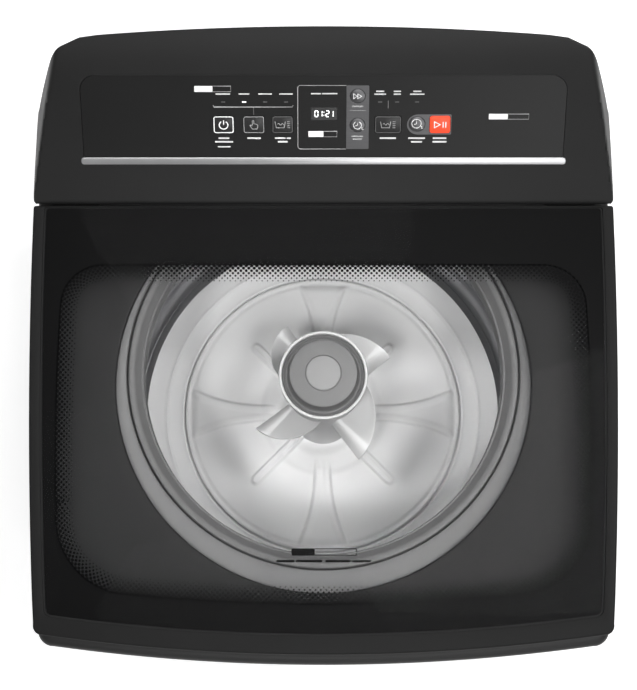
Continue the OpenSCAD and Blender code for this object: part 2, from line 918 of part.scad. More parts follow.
// Loop round both pulleys, at radii r1 and r2
module belt_loop(r1, r2) {
    c = sqrt(1 - pow((r1 - r2) / motor_gap, 2));
    s = (r1 - r2) / motor_gap;
    circle(r1);
    translate([0, motor_gap])
        circle(r2);
    polygon([[r1 * c, r1 * s], [r2 * c, motor_gap + r2 * s],
             [-r2 * c, motor_gap + r2 * s], [-r1 * c, r1 * s]]);
}

module drive_belt() color([0.06, 0.06, 0.06])
    at_axis()
        translate([0, 0, pulley_z + 4])
            linear_extrude(10)
                difference() {
                    belt_loop(driven_r + 5, motor_pulley_r + 5);
                    belt_loop(driven_r + 0.5, motor_pulley_r + 0.5);
                }

// Grooved wheel of a pulley, with a round bore-free hub
module pulley(r, flange) {
    rotate_extrude()
        polygon([[0, 0], [flange, 0], [flange, 3], [r, 3], [r, pulley_h - 3],
                 [flange, pulley_h - 3], [flange, pulley_h], [0, pulley_h]]);
}

module driven_pulley() color([0.65, 0.65, 0.67])
    at_axis() {
        difference() {
            translate([0, 0, pulley_z])
                pulley(driven_r, driven_r + 7);
            for (i = [0:5])
                rotate([0, 0, 60 * i])
                    translate([44, 0, pulley_z - e])
                        cylinder(h = pulley_h + 2 * e, r = 15);
        }
        translate([0, 0, pulley_z])
            cylinder(h = tub_z - 128 - pulley_z, r = 8);
    }

module motor_rotor() color([0.6, 0.6, 0.62])
    translate([0, motor_y, 0]) {
        translate([0, 0, pulley_z])
            pulley(motor_pulley_r, motor_pulley_r + 7);
        translate([0, 0, pulley_z])
            cylinder(h = 38, r = 6);
        translate([0, 0, 259])
            cylinder(h = tub_z - 66 - 4 - 259, r = 46);
    }

// ---------- basket ----------

module basket_wall() color([0.62, 0.62, 0.64])
    at_axis()
        translate([0, 0, basket_floor + 18])
            difference() {
                cylinder(h = balance_z - 10 - basket_floor - 18, r = basket_r + 1.2, $fn = 128);
                translate([0, 0, -e])
                    cylinder(h = 500, r = basket_r, $fn = 128);
            }

module basket_base() color([0.8, 0.8, 0.8])
    at_axis()
        translate([0, 0, basket_floor])
            rotate_extrude($fn = 128)
                polygon([[14.3, -15], [190, -15], [190, -4], [232, -4], [244, 0], [253, 9],
                         [basket_r, 18], [basket_r, 36], [basket_r - 4, 36], [basket_r - 4, 22],
                         [basket_r - 10, 12], [240, 3.5], [232, 0], [186, 0], [186, -11],
                         [14.3, -11]]);

module balance_ring() color([0.48, 0.48, 0.49])
    at_axis()
        rotate_extrude($fn = 128)
            polygon([[balance_r, balance_z - 40], [basket_r, balance_z - 40], [basket_r, balance_z - 4],
                     [basket_r - 4, balance_z], [balance_r + 8, balance_z], [balance_r + 2, balance_z - 2],
                     [balance_r, balance_z - 5]]);

module basket_hub() color([0.62, 0.62, 0.64])
    at_axis()
        translate([0, 0, basket_floor - 15])
            rotate_extrude()
                polygon([[8.05, -98], [14, -98], [14, -14], [70, -8], [70, 0], [8.05, 0]]);

// ---------- agitator ----------

// One channelled arm of the wash plate, narrow by the hub and flared at the edge
module plate_arm() {
    polygon(concat(
        [for (i = [0:8]) [60 + 115 * i / 8, 13 + 14 * pow(i / 8, 2)]],
        [for (i = [8:-1:0]) [60 + 115 * i / 8, -13 - 14 * pow(i / 8, 2)]]));
}

module wash_plate() color([0.68, 0.68, 0.69])
    at_axis()
        translate([0, 0, basket_floor]) {
            difference() {
                translate([0, 0, -10])
                    rotate_extrude($fn = 128)
                        polygon([[8.3, 0.5], [plate_r, 0.5], [plate_r, 13], [plate_r - 6, 15], [60, 19],
                                 [8.3, 19]]);
                // Channels in the arms
                for (a = [0:90:270])
                    rotate([0, 0, a])
                        translate([0, 0, 4.5])
                            linear_extrude(20)
                                plate_arm();
            }
            for (a = [45:90:315])
                rotate([0, 0, a])
                    translate([column_foot_r + 0.5, -4, 3])
                        cube([130 - column_foot_r, 8, 12]);
        }

module agitator_column() color([0.72, 0.72, 0.73])
    at_axis()
        translate([0, 0, basket_floor + 9]) {
            rise = cup_rise - 9;
            difference() {
                union() {
                    rotate_extrude()
                        polygon([[0, 0], [column_foot_r, 0], [41, 20], [40, 120], [40, 255],
                                 [44, 285], [cup_r, 305], [cup_r, rise - 1.5], [cup_r - 1.5, rise],
                                 [0, rise]]);
                    // Spiral fins that shrink into the underside of the cup
                    translate([0, 0, 305 - fin_h])
                        linear_extrude(height = fin_h, twist = -fin_twist, scale = 0.5, slices = 10, $fn = 4)
                            for (a = [-57:90:213])
                                rotate([0, 0, a])
                                    translate([38, -5])
                                        square([fin_reach - 38, 10]);
                }
                // Cup
                translate([0, 0, 300])
                    cylinder(h = rise, r = cup_r - 3.7);
                // Hollow core over the shaft
                translate([0, 0, 60])
                    cylinder(h = 220, r = 34);
                translate([0, 0, -e])
                    cylinder(h = 62, r = 8);
            }
        }

module agitator_shaft() color([0.66, 0.66, 0.68])
    at_axis() {
        translate([0, 0, tub_z - 70])
            cylinder(h = basket_floor + 69 - tub_z + 70, r = 8);
        // Bolt that holds the column down
        translate([0, 0, basket_floor + 69])
            cylinder(h = 8, r = 10, $fn = 6);
    }

module softener_cup() color([0.7, 0.7, 0.71])
    at_axis()
        translate([0, 0, cup_z])
            rotate_extrude()
                polygon([[0, -60.7], [cup_r - 4.1, -60.7], [cup_r - 4.1, -4], [cup_r - 6.5, -4],
                         [cup_r - 7.5, -24], [cap_r + 1, -24], [cap_r, 12], [cap_r - 3, 15],
                         [21.5, 15.5], [19.9, 17], [0, 17]]);

// ---------- feet ----------

module foot(i, j) {
    translate([i * foot_x, j * foot_y, 0]) {
        cylinder(h = 9, r = foot_r);
        translate([0, 0, 9])
            cylinder(h = 5, r = 12, $fn = 6);
        cylinder(h = cabinet_z + 24, r = stud_r);
    }
}

module foot_front_left() color([0.1, 0.1, 0.1]) foot(-1, -1);
module foot_front_right() color([0.1, 0.1, 0.1]) foot(1, -1);
module foot_rear_left() color([0.1, 0.1, 0.1]) foot(-1, 1);
module foot_rear_right() color([0.1, 0.1, 0.1]) foot(1, 1);

// ---------- every node ----------

cabinet_wrap();
rear_panel();
base_frame();
foot_locknuts();
corner_brackets();
suspension_rods();
rod_seats();
top_deck();
hinge_pins();
lid_lock();
console_housing();
console_back();
control_panel();
chrome_trim();
display_window();
control_board();
water_valve();
fill_hose();
dispenser_housing();
pressure_sensor();
drain_pump();
drain_hose();
drain_outlet();
cable_gland();
panel_screws();
lid_frame();
lid_glass();
power_button();
cycle_button();
level_button();
options_button();
start_button();
forward_button();
reduce_button();
delay_button();
detergent_drawer();
outer_tub();
tub_ring();
tub_bracket();
gearcase();
drive_motor();
spin_bearings();
tub_seal();
clutch_actuator();
suspension_springs();
drive_belt();
basket_wall();
basket_base();
balance_ring();
basket_hub();
wash_plate();
agitator_column();
agitator_shaft();
softener_cup();
driven_pulley();
motor_rotor();
foot_front_left();
foot_front_right();
foot_rear_left();
foot_rear_right();
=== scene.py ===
"""Top load washing machine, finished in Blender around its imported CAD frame.

Sizes below are in millimetres, in the frame's own axes: +X right, +Y to the rear, +Z up,
with the origin on the floor. Meshes are scaled to metres when they become pieces.
"""
import json
import math

import bmesh
import bpy
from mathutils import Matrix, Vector


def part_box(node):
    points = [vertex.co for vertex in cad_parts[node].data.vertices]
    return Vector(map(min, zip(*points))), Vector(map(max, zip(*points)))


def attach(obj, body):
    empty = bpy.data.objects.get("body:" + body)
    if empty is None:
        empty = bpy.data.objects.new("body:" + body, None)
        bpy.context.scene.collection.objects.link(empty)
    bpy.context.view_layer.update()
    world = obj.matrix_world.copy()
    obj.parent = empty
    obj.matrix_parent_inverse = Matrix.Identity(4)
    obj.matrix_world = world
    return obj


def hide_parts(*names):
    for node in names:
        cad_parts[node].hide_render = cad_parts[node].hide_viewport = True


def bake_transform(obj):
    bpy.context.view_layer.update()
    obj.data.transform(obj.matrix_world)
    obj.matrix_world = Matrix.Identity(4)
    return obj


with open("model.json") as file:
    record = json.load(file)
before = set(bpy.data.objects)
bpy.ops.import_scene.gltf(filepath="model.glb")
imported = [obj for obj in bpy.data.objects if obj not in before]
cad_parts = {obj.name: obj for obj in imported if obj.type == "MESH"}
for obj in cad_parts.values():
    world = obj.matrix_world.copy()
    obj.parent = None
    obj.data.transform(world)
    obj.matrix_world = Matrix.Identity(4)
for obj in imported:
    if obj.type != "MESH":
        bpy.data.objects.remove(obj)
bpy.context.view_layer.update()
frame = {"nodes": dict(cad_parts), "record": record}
MM = 0.001


def low(node):
    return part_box(node)[0] / MM


def high(node):
    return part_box(node)[1] / MM


# ---------- driving sizes ----------

HALF_W = high("lid_frame").x
FRONT = low("top_deck").y
REAR = high("top_deck").y
CABINET_TOP = high("cabinet_wrap").z
DECK_TOP = low("console_housing").z
LID_BASE = DECK_TOP + 2
LID_TOP = high("lid_frame").z
GLASS_LOW = low("lid_glass").z
GLASS_TOP = high("lid_glass").z
LID_FRONT = low("lid_frame").y
LID_END = high("lid_frame").y + 1.9
AXIS_Y = (low("basket_wall").y + high("basket_wall").y) / 2
BASKET_R = high("basket_wall").x
# Sides bow outward about the depth BOW_MID; fronts and the console's back are arches
BOW_R = 5756
BOW_MID = 40
ARCH_R = 2190
CONSOLE_ARCH_R = 3400
HINGE_Y, HINGE_Z = 150, 928
# Round opening in the deck, cut straight across behind, and the recess that the lid closes over
OPENING_R = 236
OPENING_Y = -34
OPENING_FLAT = 162
RECESS_FRONT, RECESS_REAR = -318, 138
# Console: front edge, then the foot and the slope of the control face
NOSE_Y = 165
FACE_Y, FACE_Z = 200.5, 975
FACE_TILT = math.radians(39.5)

# ---------- small maths ----------


def ramp(a, b, x):
    """Smooth step from 0 at a to 1 at b."""
    t = min(max((x - a) / (b - a), 0), 1)
    return t * t * (3 - 2 * t)


def mix(a, b, t):
    return a + (b - a) * t


def arc(cx, cy, r, a0, a1, n):
    """Points on an arc, angles in degrees, both ends included."""
    angles = [math.radians(mix(a0, a1, i / n)) for i in range(n + 1)]
    return [(cx + r * math.cos(a), cy + r * math.sin(a)) for a in angles]


def side_x(y, inset, mid=BOW_MID, bow=BOW_R):
    return HALF_W - inset - (y - mid) ** 2 / (2 * bow)


def arch_y(x, front):
    return front + x * x / (2 * ARCH_R)


def plan(front, rear, inset, r, rr, mid=BOW_MID, bow=BOW_R, split=None):
    """Closed outline with an arched front, round corners and bowed sides, from the front middle.
    split is a depth where the sides get a close pair of points."""
    cx0 = side_x(front + 25, inset, mid, bow) - r
    cy = arch_y(cx0, front) + r
    cx = side_x(cy, inset, mid, bow) - r
    end = rear - rr
    half = [(cx * i / 30, arch_y(cx * i / 30, front)) for i in range(31)]
    half += arc(cx, cy, r, -78, 10, 10)
    depths = [mix(cy, end, i / 16) for i in range(1, 17)]
    if split is not None:
        close = min(split, end - 1)
        depths = [mix(cy, close, i / 14) for i in range(1, 15)] + [close + 0.4, end]
    half += [(side_x(y, inset, mid, bow), y) for y in depths]
    half += arc(side_x(end, inset, mid, bow) - rr, end, rr, 12, 90, 6)
    return half + [(-x, y) for x, y in reversed(half[1:])]


def circle(r, n, cy=AXIS_Y, cx=0):
    turns = [2 * math.pi * i / n for i in range(n)]
    return [(cx + r * math.cos(a), cy + r * math.sin(a)) for a in turns]


def crossing(p, q, centre, d):
    """Distance from centre along d to the segment p q, or None."""
    ex, ey = q[0] - p[0], q[1] - p[1]
    det = ex * d[1] - ey * d[0]
    if abs(det) < 1e-12:
        return None
    wx, wy = p[0] - centre[0], p[1] - centre[1]
    along = (ex * wy - ey * wx) / det
    part = (d[0] * wy - d[1] * wx) / det
    return along if along > 0 and -1e-9 <= part <= 1 + 1e-9 else None


def ray_ring(outline, centre, angles):
    """Where rays from the centre cross a closed outline."""
    ring = []
    for a in angles:
        d = (math.cos(a), math.sin(a))
        hits = [crossing(p, q, centre, d) for p, q in zip(outline, outline[1:] + outline[:1])]
        far = max(h for h in hits if h is not None)
        ring.append((centre[0] + d[0] * far, centre[1] + d[1] * far))
    return ring


def resample(outline, n, shift=0.0):
    """n points at equal steps round a closed outline."""
    ends = list(zip(outline, outline[1:] + outline[:1]))
    lengths = [math.dist(p, q) for p, q in ends]
    total = sum(lengths)
    points, k, run = [], 0, 0.0
    for i in range(n):
        want = (i + shift) / n * total
        while k < len(ends) - 1 and run + lengths[k] < want:
            run += lengths[k]
            k += 1
        t = (want - run) / lengths[k]
        p, q = ends[k]
        points.append((mix(p[0], q[0], t), mix(p[1], q[1], t)))
    return points


def round_rect(cx, cy, w, h, r, n=6):
    """Outline of a rectangle with round corners."""
    x, y = w / 2 - r, h / 2 - r
    return (arc(cx + x, cy - y, r, -90, 0, n) + arc(cx + x, cy + y, r, 0, 90, n)
            + arc(cx - x, cy + y, r, 90, 180, n) + arc(cx - x, cy - y, r, 180, 270, n))


# ---------- building meshes ----------


def flat(x, y, z):
    return (x, y, z)


def on_face(x, v, w):
    """A point on the sloping control face: x across, v up the slope, w outward."""
    c, s = math.cos(FACE_TILT), math.sin(FACE_TILT)
    return (x, FACE_Y + v * c - w * s, FACE_Z + v * s + w * c)


def about_axis(x, y, z):
    return (x, y + AXIS_Y, z)


class Shell:
    """Collects closed shells, then becomes one piece."""

    def __init__(self):
        self.verts = []
        self.faces = []

    def add(self, verts, faces):
        base = len(self.verts)
        self.verts += verts
        self.faces += [[base + i for i in face] for face in faces]

    def loft(self, rings, wrap=False):
        """Skin over closed rings of equal length, capped at both ends or joined round."""
        n = len(rings[0])
        faces = []
        for k in range(len(rings) if wrap else len(rings) - 1):
            a, b = k * n, (k + 1) % len(rings) * n
            faces += [[a + i, a + (i + 1) % n, b + (i + 1) % n, b + i] for i in range(n)]
        if not wrap:
            last = (len(rings) - 1) * n
            faces += [list(range(n - 1, -1, -1)), list(range(last, last + n))]
        self.add([p for ring in rings for p in ring], faces)

    def sheet(self, grid):
        """Closed slab from a grid of (top, under) point pairs."""
        rows, cols = len(grid), len(grid[0])
        flat_list = [pair for row in grid for pair in row]
        verts = [pair[0] for pair in flat_list] + [pair[1] for pair in flat_list]
        under = rows * cols
        faces = []
        for i in range(rows - 1):
            for j in range(cols - 1):
                a, b = i * cols + j, (i + 1) * cols + j
                faces.append([a, a + 1, b + 1, b])
                faces.append([under + b, under + b + 1, under + a + 1, under + a])
        rim = list(range(cols))
        rim += [i * cols + cols - 1 for i in range(1, rows)]
        rim += [(rows - 1) * cols + j for j in range(cols - 2, -1, -1)]
        rim += [i * cols for i in range(rows - 2, 0, -1)]
        for p, q in zip(rim, rim[1:] + rim[:1]):
            faces.append([p, under + p, under + q, q])
        self.add(verts, faces)

    def prism(self, outline, lo, hi, place=flat):
        self.loft([[place(x, y, lo) for x, y in outline], [place(x, y, hi) for x, y in outline]])

    def frame(self, outer, inner, lo, hi, place=flat):
        """Flat ring between two outlines of equal length."""
        self.loft([[place(x, y, z) for x, y in line]
                   for line, z in ((outer, lo), (outer, hi), (inner, hi), (inner, lo))], wrap=True)

    def stroke(self, line, width, lo, hi, place=flat, closed=False):
        """A line drawn with a pen of that width."""
        n = len(line)
        left, right = [], []
        for i, p in enumerate(line):
            before = line[i - 1] if closed or i > 0 else p
            after = line[(i + 1) % n] if closed or i < n - 1 else p
            d = Vector((after[0] - before[0], after[1] - before[1])).normalized()
            into = Vector((p[0] - before[0], p[1] - before[1]))
            turn = max(abs(into.normalized().dot(d)), 0.5) if into.length > 0 else 1
            off = Vector((-d.y, d.x)) * (width / 2 / turn)
            left.append((p[0] + off.x, p[1] + off.y))
            right.append((p[0] - off.x, p[1] - off.y))
        if closed:
            self.frame(left, right, lo, hi, place)
        else:
            self.prism(left + right[::-1], lo, hi, place)

    def revolve(self, profile, n=128, place=about_axis, wrap=False):
        """Profile of (radius, height) turned about the wash axis."""
        turns = [2 * math.pi * i / n for i in range(n)]
        self.loft([[place(r * math.cos(a), r * math.sin(a), z) for a in turns] for r, z in profile], wrap)

    def piece(self, name, body, slot, replaces=(), finish=None, crease=32, bevel=0.0):
        """Makes the object, in its slot's own finish unless another is given."""
        mesh = bpy.data.meshes.new(name)
        mesh.from_pydata([Vector(v) * MM for v in self.verts], [], self.faces)
        obj = bpy.data.objects.new(name, mesh)
        bpy.context.scene.collection.objects.link(obj)
        clean(obj, crease)
        obj.data.materials.append(finish or MATERIALS[slot])
        if bevel:
            soften(obj, bevel)
        if body:
            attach(obj, body)
        if replaces:
            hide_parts(*replaces)
        return obj


def clean(obj, crease=32):
    """Welds points, turns faces outward and smooths all but the sharp edges."""
    bm = bmesh.new()
    bm.from_mesh(obj.data)
    bmesh.ops.remove_doubles(bm, verts=bm.verts, dist=0.00001)
    bmesh.ops.dissolve_degenerate(bm, edges=bm.edges, dist=0.000002)
    bmesh.ops.recalc_face_normals(bm, faces=bm.faces)
    bm.to_mesh(obj.data)
    bm.free()
    for face in obj.data.polygons:
        face.use_smooth = True
    obj.data.set_sharp_from_angle(angle=math.radians(crease))


def soften(obj, width, segments=3, angle=32):
    """Rounds the sharp edges by a width in millimetres."""
    mod = obj.modifiers.new("edge_round", "BEVEL")
    mod.width = width * MM
    mod.segments = segments
    mod.limit_method = "ANGLE"
    mod.angle_limit = math.radians(angle)
    mod.harden_normals = True
    return mod


def carve(obj, cutter, crease=32):
    """Cuts a shell out of a piece for good."""
    mesh = bpy.data.meshes.new("cutter")
    mesh.from_pydata([Vector(v) * MM for v in cutter.verts], [], cutter.faces)
    tool = bpy.data.objects.new("cutter", mesh)
    bpy.context.scene.collection.objects.link(tool)
    clean(tool)
    mod = obj.modifiers.new("cut", "BOOLEAN")
    mod.operation = "DIFFERENCE"
    mod.solver = "EXACT"
    mod.object = tool
    bpy.context.view_layer.update()
    made = bpy.data.meshes.new_from_object(obj.evaluated_get(bpy.context.evaluated_depsgraph_get()))
    obj.modifiers.remove(mod)
    old = obj.data
    obj.data = made
    bpy.data.objects.remove(tool)
    bpy.data.meshes.remove(old)
    clean(obj, crease)


def punch(obj, outline, lo, hi):
    """Cuts an outline out of a piece on the control face."""
    cutter = Shell()
    cutter.prism(outline, lo, hi, on_face)
    carve(obj, cutter)


def rolled(edge, top, first=0):
    """Inset and height of each step round a quarter-round edge, from the side up."""
    turns = [math.radians(a) for a in range(first, 91, 15)]
    return [(edge * (1 - math.cos(a)), top - edge + edge * math.sin(a)) for a in turns]


def side_view(y, z, x):
    """Places an outline drawn from the side."""
    return (x, y, z)


def block(shell, lo, hi):
    """Adds a box between two corners."""
    outline = [(lo[0], lo[1]), (hi[0], lo[1]), (hi[0], hi[1]), (lo[0], hi[1])]
    shell.prism(outline, lo[2], hi[2])


# ---------- materials ----------


def material(name, colour, rough, metal=0.0, coat=0.0, ior=1.5, alpha=1.0):
    mat = bpy.data.materials.new(name)
    mat.use_nodes = True
    shader = mat.node_tree.nodes["Principled BSDF"]
    shader.inputs["Base Color"].default_value = (*colour, 1)
    shader.inputs["Roughness"].default_value = rough
    shader.inputs["Metallic"].default_value = metal
    shader.inputs["Coat Weight"].default_value = coat
    shader.inputs["Coat Roughness"].default_value = 0.08
    shader.inputs["IOR"].default_value = ior
    shader.inputs["Alpha"].default_value = alpha
    return mat


def texture(mat, kind, scale, stretch=(1, 1, 1), **sockets):
    """A noise or cell texture in the object's own metres."""
    nodes, links = mat.node_tree.nodes, mat.node_tree.links
    place = nodes.new("ShaderNodeTexCoord")
    sizing = nodes.new("ShaderNodeMapping")
    sizing.inputs["Scale"].default_value = stretch
    tex = nodes.new(kind)
    tex.inputs["Scale"].default_value = scale
    for socket, value in sockets.items():
        tex.inputs[socket].default_value = value
    links.new(place.outputs["Object"], sizing.inputs["Vector"])
    links.new(sizing.outputs["Vector"], tex.inputs["Vector"])
    return tex.outputs[0]


def drive(mat, source, socket, low_value, high_value):
    """A texture moves a shader value between two limits."""
    nodes, links = mat.node_tree.nodes, mat.node_tree.links
    span = nodes.new("ShaderNodeMapRange")
    span.inputs["To Min"].default_value = low_value
    span.inputs["To Max"].default_value = high_value
    links.new(source, span.inputs["Value"])
    links.new(span.outputs["Result"], nodes["Principled BSDF"].inputs[socket])


def tint(mat, source, dark, light):
    """A texture moves the colour between two near tones."""
    nodes, links = mat.node_tree.nodes, mat.node_tree.links
    tones = nodes.new("ShaderNodeValToRGB")
    tones.color_ramp.elements[0].color = (*dark, 1)
    tones.color_ramp.elements[1].color = (*light, 1)
    tones.color_ramp.elements[0].position = 0.3
    tones.color_ramp.elements[1].position = 0.7
    links.new(source, tones.inputs["Fac"])
    links.new(tones.outputs["Color"], nodes["Principled BSDF"].inputs["Base Color"])


def relief(mat, source, depth, strength=1.0):
    """A texture raises the surface by a depth in millimetres."""
    nodes, links = mat.node_tree.nodes, mat.node_tree.links
    bump = nodes.new("ShaderNodeBump")
    bump.inputs["Distance"].default_value = depth * MM
    bump.inputs["Strength"].default_value = strength
    links.new(source, bump.inputs["Height"])
    links.new(bump.outputs["Normal"], nodes["Principled BSDF"].inputs["Normal"])


def shades(colour, spread):
    return [tuple(c * (1 - spread) for c in colour), tuple(c * (1 + spread) for c in colour)]


def moulded(name, colour, rough, grain=900, depth=0.02, spread=0.05, ior=1.5):
    """Injection-moulded plastic with a fine sparked grain and a slightly uneven gloss."""
    mat = material(name, colour, rough, ior=ior)
    cloud = texture(mat, "ShaderNodeTexNoise", 14, Detail=4, Roughness=0.6)
    tint(mat, cloud, *shades(colour, spread))
    drive(mat, cloud, "Roughness", rough * 0.88, min(rough * 1.14, 1))
    relief(mat, texture(mat, "ShaderNodeTexNoise", grain, Detail=2), depth, 0.5)
    return mat


def painted(name, colour, rough):
    """Powder-coated sheet steel with orange peel."""
    mat = material(name, colour, rough, coat=0.25)
    cloud = texture(mat, "ShaderNodeTexNoise", 6, Detail=5)
    tint(mat, cloud, *shades(colour, 0.06))
    drive(mat, cloud, "Roughness", rough * 0.85, rough * 1.2)
    relief(mat, texture(mat, "ShaderNodeTexNoise", 420, Detail=1), 0.03, 0.5)
    return mat


def brushed(name, colour, rough, stretch=(1, 1, 60), scale=30):
    """Metal with fine drawn lines."""
    mat = material(name, colour, rough, metal=1.0)
    lines = texture(mat, "ShaderNodeTexNoise", scale, stretch, Detail=6, Roughness=0.7)
    tint(mat, lines, *shades(colour, 0.14))
    drive(mat, lines, "Roughness", rough * 0.75, min(rough * 1.35, 1))
    relief(mat, lines, 0.012, 0.6)
    return mat


def polished(name, colour, rough):
    """Satin chrome, even but for faint clouding."""
    mat = material(name, colour, rough, metal=1.0)
    cloud = texture(mat, "ShaderNodeTexNoise", 40, Detail=3)
    tint(mat, cloud, *shades(colour, 0.03))
    drive(mat, cloud, "Roughness", rough * 0.9, rough * 1.1)
    return mat


def spangled(name, colour, rough):
    """Hot-dip galvanised steel with its crystal pattern."""
    mat = material(name, colour, rough, metal=0.85)
    cells = texture(mat, "ShaderNodeTexVoronoi", 90)
    tint(mat, cells, *shades(colour, 0.09))
    drive(mat, cells, "Roughness", rough * 0.8, rough * 1.25)
    relief(mat, texture(mat, "ShaderNodeTexNoise", 300, Detail=3), 0.01, 0.5)
    return mat


def cast(name, colour, rough):
    """Sand-cast alloy with a coarse skin."""
    mat = material(name, colour, rough, metal=0.8)
    skin = texture(mat, "ShaderNodeTexNoise", 240, Detail=6, Roughness=0.75)
    tint(mat, skin, *shades(colour, 0.12))
    drive(mat, skin, "Roughness", rough * 0.85, min(rough * 1.2, 1))
    relief(mat, skin, 0.12, 0.6)
    return mat


def rubber(name, colour, rough):
    mat = material(name, colour, rough)
    dust = texture(mat, "ShaderNodeTexNoise", 60, Detail=6, Roughness=0.7)
    tint(mat, dust, *shades(colour, 0.25))
    drive(mat, dust, "Roughness", rough * 0.85, min(rough * 1.1, 1))
    relief(mat, texture(mat, "ShaderNodeTexNoise", 700, Detail=3), 0.04, 0.6)
    return mat


def lit(mat, power):
    """Makes a material give off white light."""
    shader = mat.node_tree.nodes["Principled BSDF"]
    shader.inputs["Emission Color"].default_value = (1, 1, 1, 1)
    shader.inputs["Emission Strength"].default_value = power


def glowing(name, colour, power):
    mat = material(name, colour, 0.4)
    lit(mat, power)
    drive(mat, texture(mat, "ShaderNodeTexNoise", 300), "Roughness", 0.35, 0.5)
    return mat


def grey(value):
    """Linear grey of an 8-bit tone."""
    s = value / 255
    return tuple([s / 12.92 if s <= 0.04045 else ((s + 0.055) / 1.055) ** 2.4] * 3)


MATERIALS = {
    "cabinet_paint": painted("cabinet_paint", grey(38), 0.38),
    "galvanised_steel": spangled("galvanised_steel", (0.46, 0.47, 0.48), 0.42),
    "base_plastic": moulded("base_plastic", grey(60), 0.55, grain=500, depth=0.05),
    "deck_plastic": moulded("deck_plastic", grey(43), 0.42, ior=1.3),
    "frame_plastic": moulded("frame_plastic", grey(28), 0.45, ior=1.18),
    "console_plastic": moulded("console_plastic", grey(35), 0.46, ior=1.26),
    "panel_gloss": moulded("panel_gloss", grey(28), 0.3, grain=300, depth=0.004, spread=0.03, ior=1.35),
    "bright_trim": polished("bright_trim", (0.9, 0.9, 0.91), 0.3),
    "tinted_glass": material("tinted_glass", (0.006, 0.006, 0.007), 0.04, ior=1.25, alpha=0.1),
    "display_lens": moulded("display_lens", grey(56), 0.18, grain=300, depth=0.003, spread=0.02),
    "circuit_board": moulded("circuit_board", (0.02, 0.12, 0.05), 0.4, grain=200, depth=0.05),
    "white_plastic": moulded("white_plastic", (0.72, 0.72, 0.70), 0.4),
    "ring_plastic": moulded("ring_plastic", grey(122), 0.5),
    "balance_plastic": moulded("balance_plastic", grey(112), 0.5),
    "drawer_plastic": moulded("drawer_plastic", grey(112), 0.4),
    "stainless": brushed("stainless", (0.38, 0.38, 0.39), 0.3),
    "basket_plastic": moulded("basket_plastic", grey(244), 0.5, spread=0.015),
    "agitator_plastic": moulded("agitator_plastic", grey(232), 0.45, spread=0.015),
    "cup_plastic": moulded("cup_plastic", grey(112), 0.45, spread=0.02),
    "cast_alloy": cast("cast_alloy", (0.5, 0.5, 0.51), 0.5),
    "motor_steel": cast("motor_steel", (0.3, 0.3, 0.31), 0.42),
    "spring_steel": brushed("spring_steel", (0.42, 0.42, 0.43), 0.35, (20, 20, 20), 90),
    "black_rubber": rubber("black_rubber", grey(38), 0.7),
    "key_black": moulded("key_black", grey(36), 0.26, grain=300, depth=0.004, spread=0.03),
    "key_orange": moulded("key_orange", (1.0, 0.075, 0.028), 0.32, grain=300, depth=0.006, spread=0.03),
    "key_grey": brushed("key_grey", (0.2, 0.2, 0.205), 0.34, (1, 60, 60)),
}
PRINT_BLACK = moulded("print_black", grey(14), 0.34, grain=500, depth=0.003, spread=0.04, ior=1.12)
PRINT_WHITE, PRINT_PALE, PRINT_GREY, PRINT_DIM = [
    moulded("print_" + name, grey(tone), 0.5, grain=500, depth=0.003, spread=0.02)
    for name, tone in (("white", 235), ("pale", 205), ("grey", 150), ("dim", 84))
]
LIT_WHITE = glowing("lit_white", (1.0, 1.0, 1.0), 1.2)
GROOVE_BLACK = moulded("groove_black", grey(10), 0.7, grain=500, depth=0.01, spread=0.1)
RIM_WHITE = moulded("rim_white", grey(196), 0.45, spread=0.01)
CAP_GREY = moulded("cap_grey", grey(138), 0.45, spread=0.01)
STRIP_METAL = brushed("strip_metal", (0.2, 0.2, 0.205), 0.38, (1, 60, 60))


def dress_cad():
    """Every CAD node that stays gets the finish of its own slot."""
    for part in frame["record"]["subparts"]:
        node = frame["nodes"].get(part["node"])
        finish = MATERIALS.get(part["material_slot"])
        if node and finish:
            node.data.materials.clear()
            node.data.materials.append(finish)


dress_cad()

# ---------- camera and light ----------


def make_camera():
    data = bpy.data.cameras.new("camera")
    data.lens = 107.27
    data.sensor_width = 36
    data.clip_end = 20
    camera = bpy.data.objects.new("camera", data)
    camera.location = Vector((-5.6, -356.2, 3211.7)) * MM
    camera.rotation_euler = (math.radians(9), 0, 0)
    bpy.context.scene.collection.objects.link(camera)
    bpy.context.scene.camera = camera


def lamp(name, kind, place, aim, power):
    """Lamp of a kind, turned to face a point."""
    data = bpy.data.lights.new(name, kind)
    data.energy = power
    obj = bpy.data.objects.new(name, data)
    obj.location = place
    obj.rotation_euler = (Vector(aim) - Vector(place)).to_track_quat("-Z", "Y").to_euler()
    bpy.context.scene.collection.objects.link(obj)
    return obj


def area_light(name, place, aim, size, power):
    data = lamp(name, "AREA", place, aim, power).data
    data.shape = "RECTANGLE"
    data.size, data.size_y = size


def basket_light(name, place, power):
    """Snooted lamp whose soft circle just fills the tub opening and leaves no glare on the glass."""
    mouth = (0, AXIS_Y * MM, 0.86)
    obj = lamp(name, "SPOT", place, mouth, power)
    obj.visible_glossy = False
    obj.data.shadow_soft_size = 0.3
    obj.data.spot_size = 2 * math.atan(0.25 / (Vector(place) - Vector(mouth)).length)
    obj.data.spot_blend = 0.5


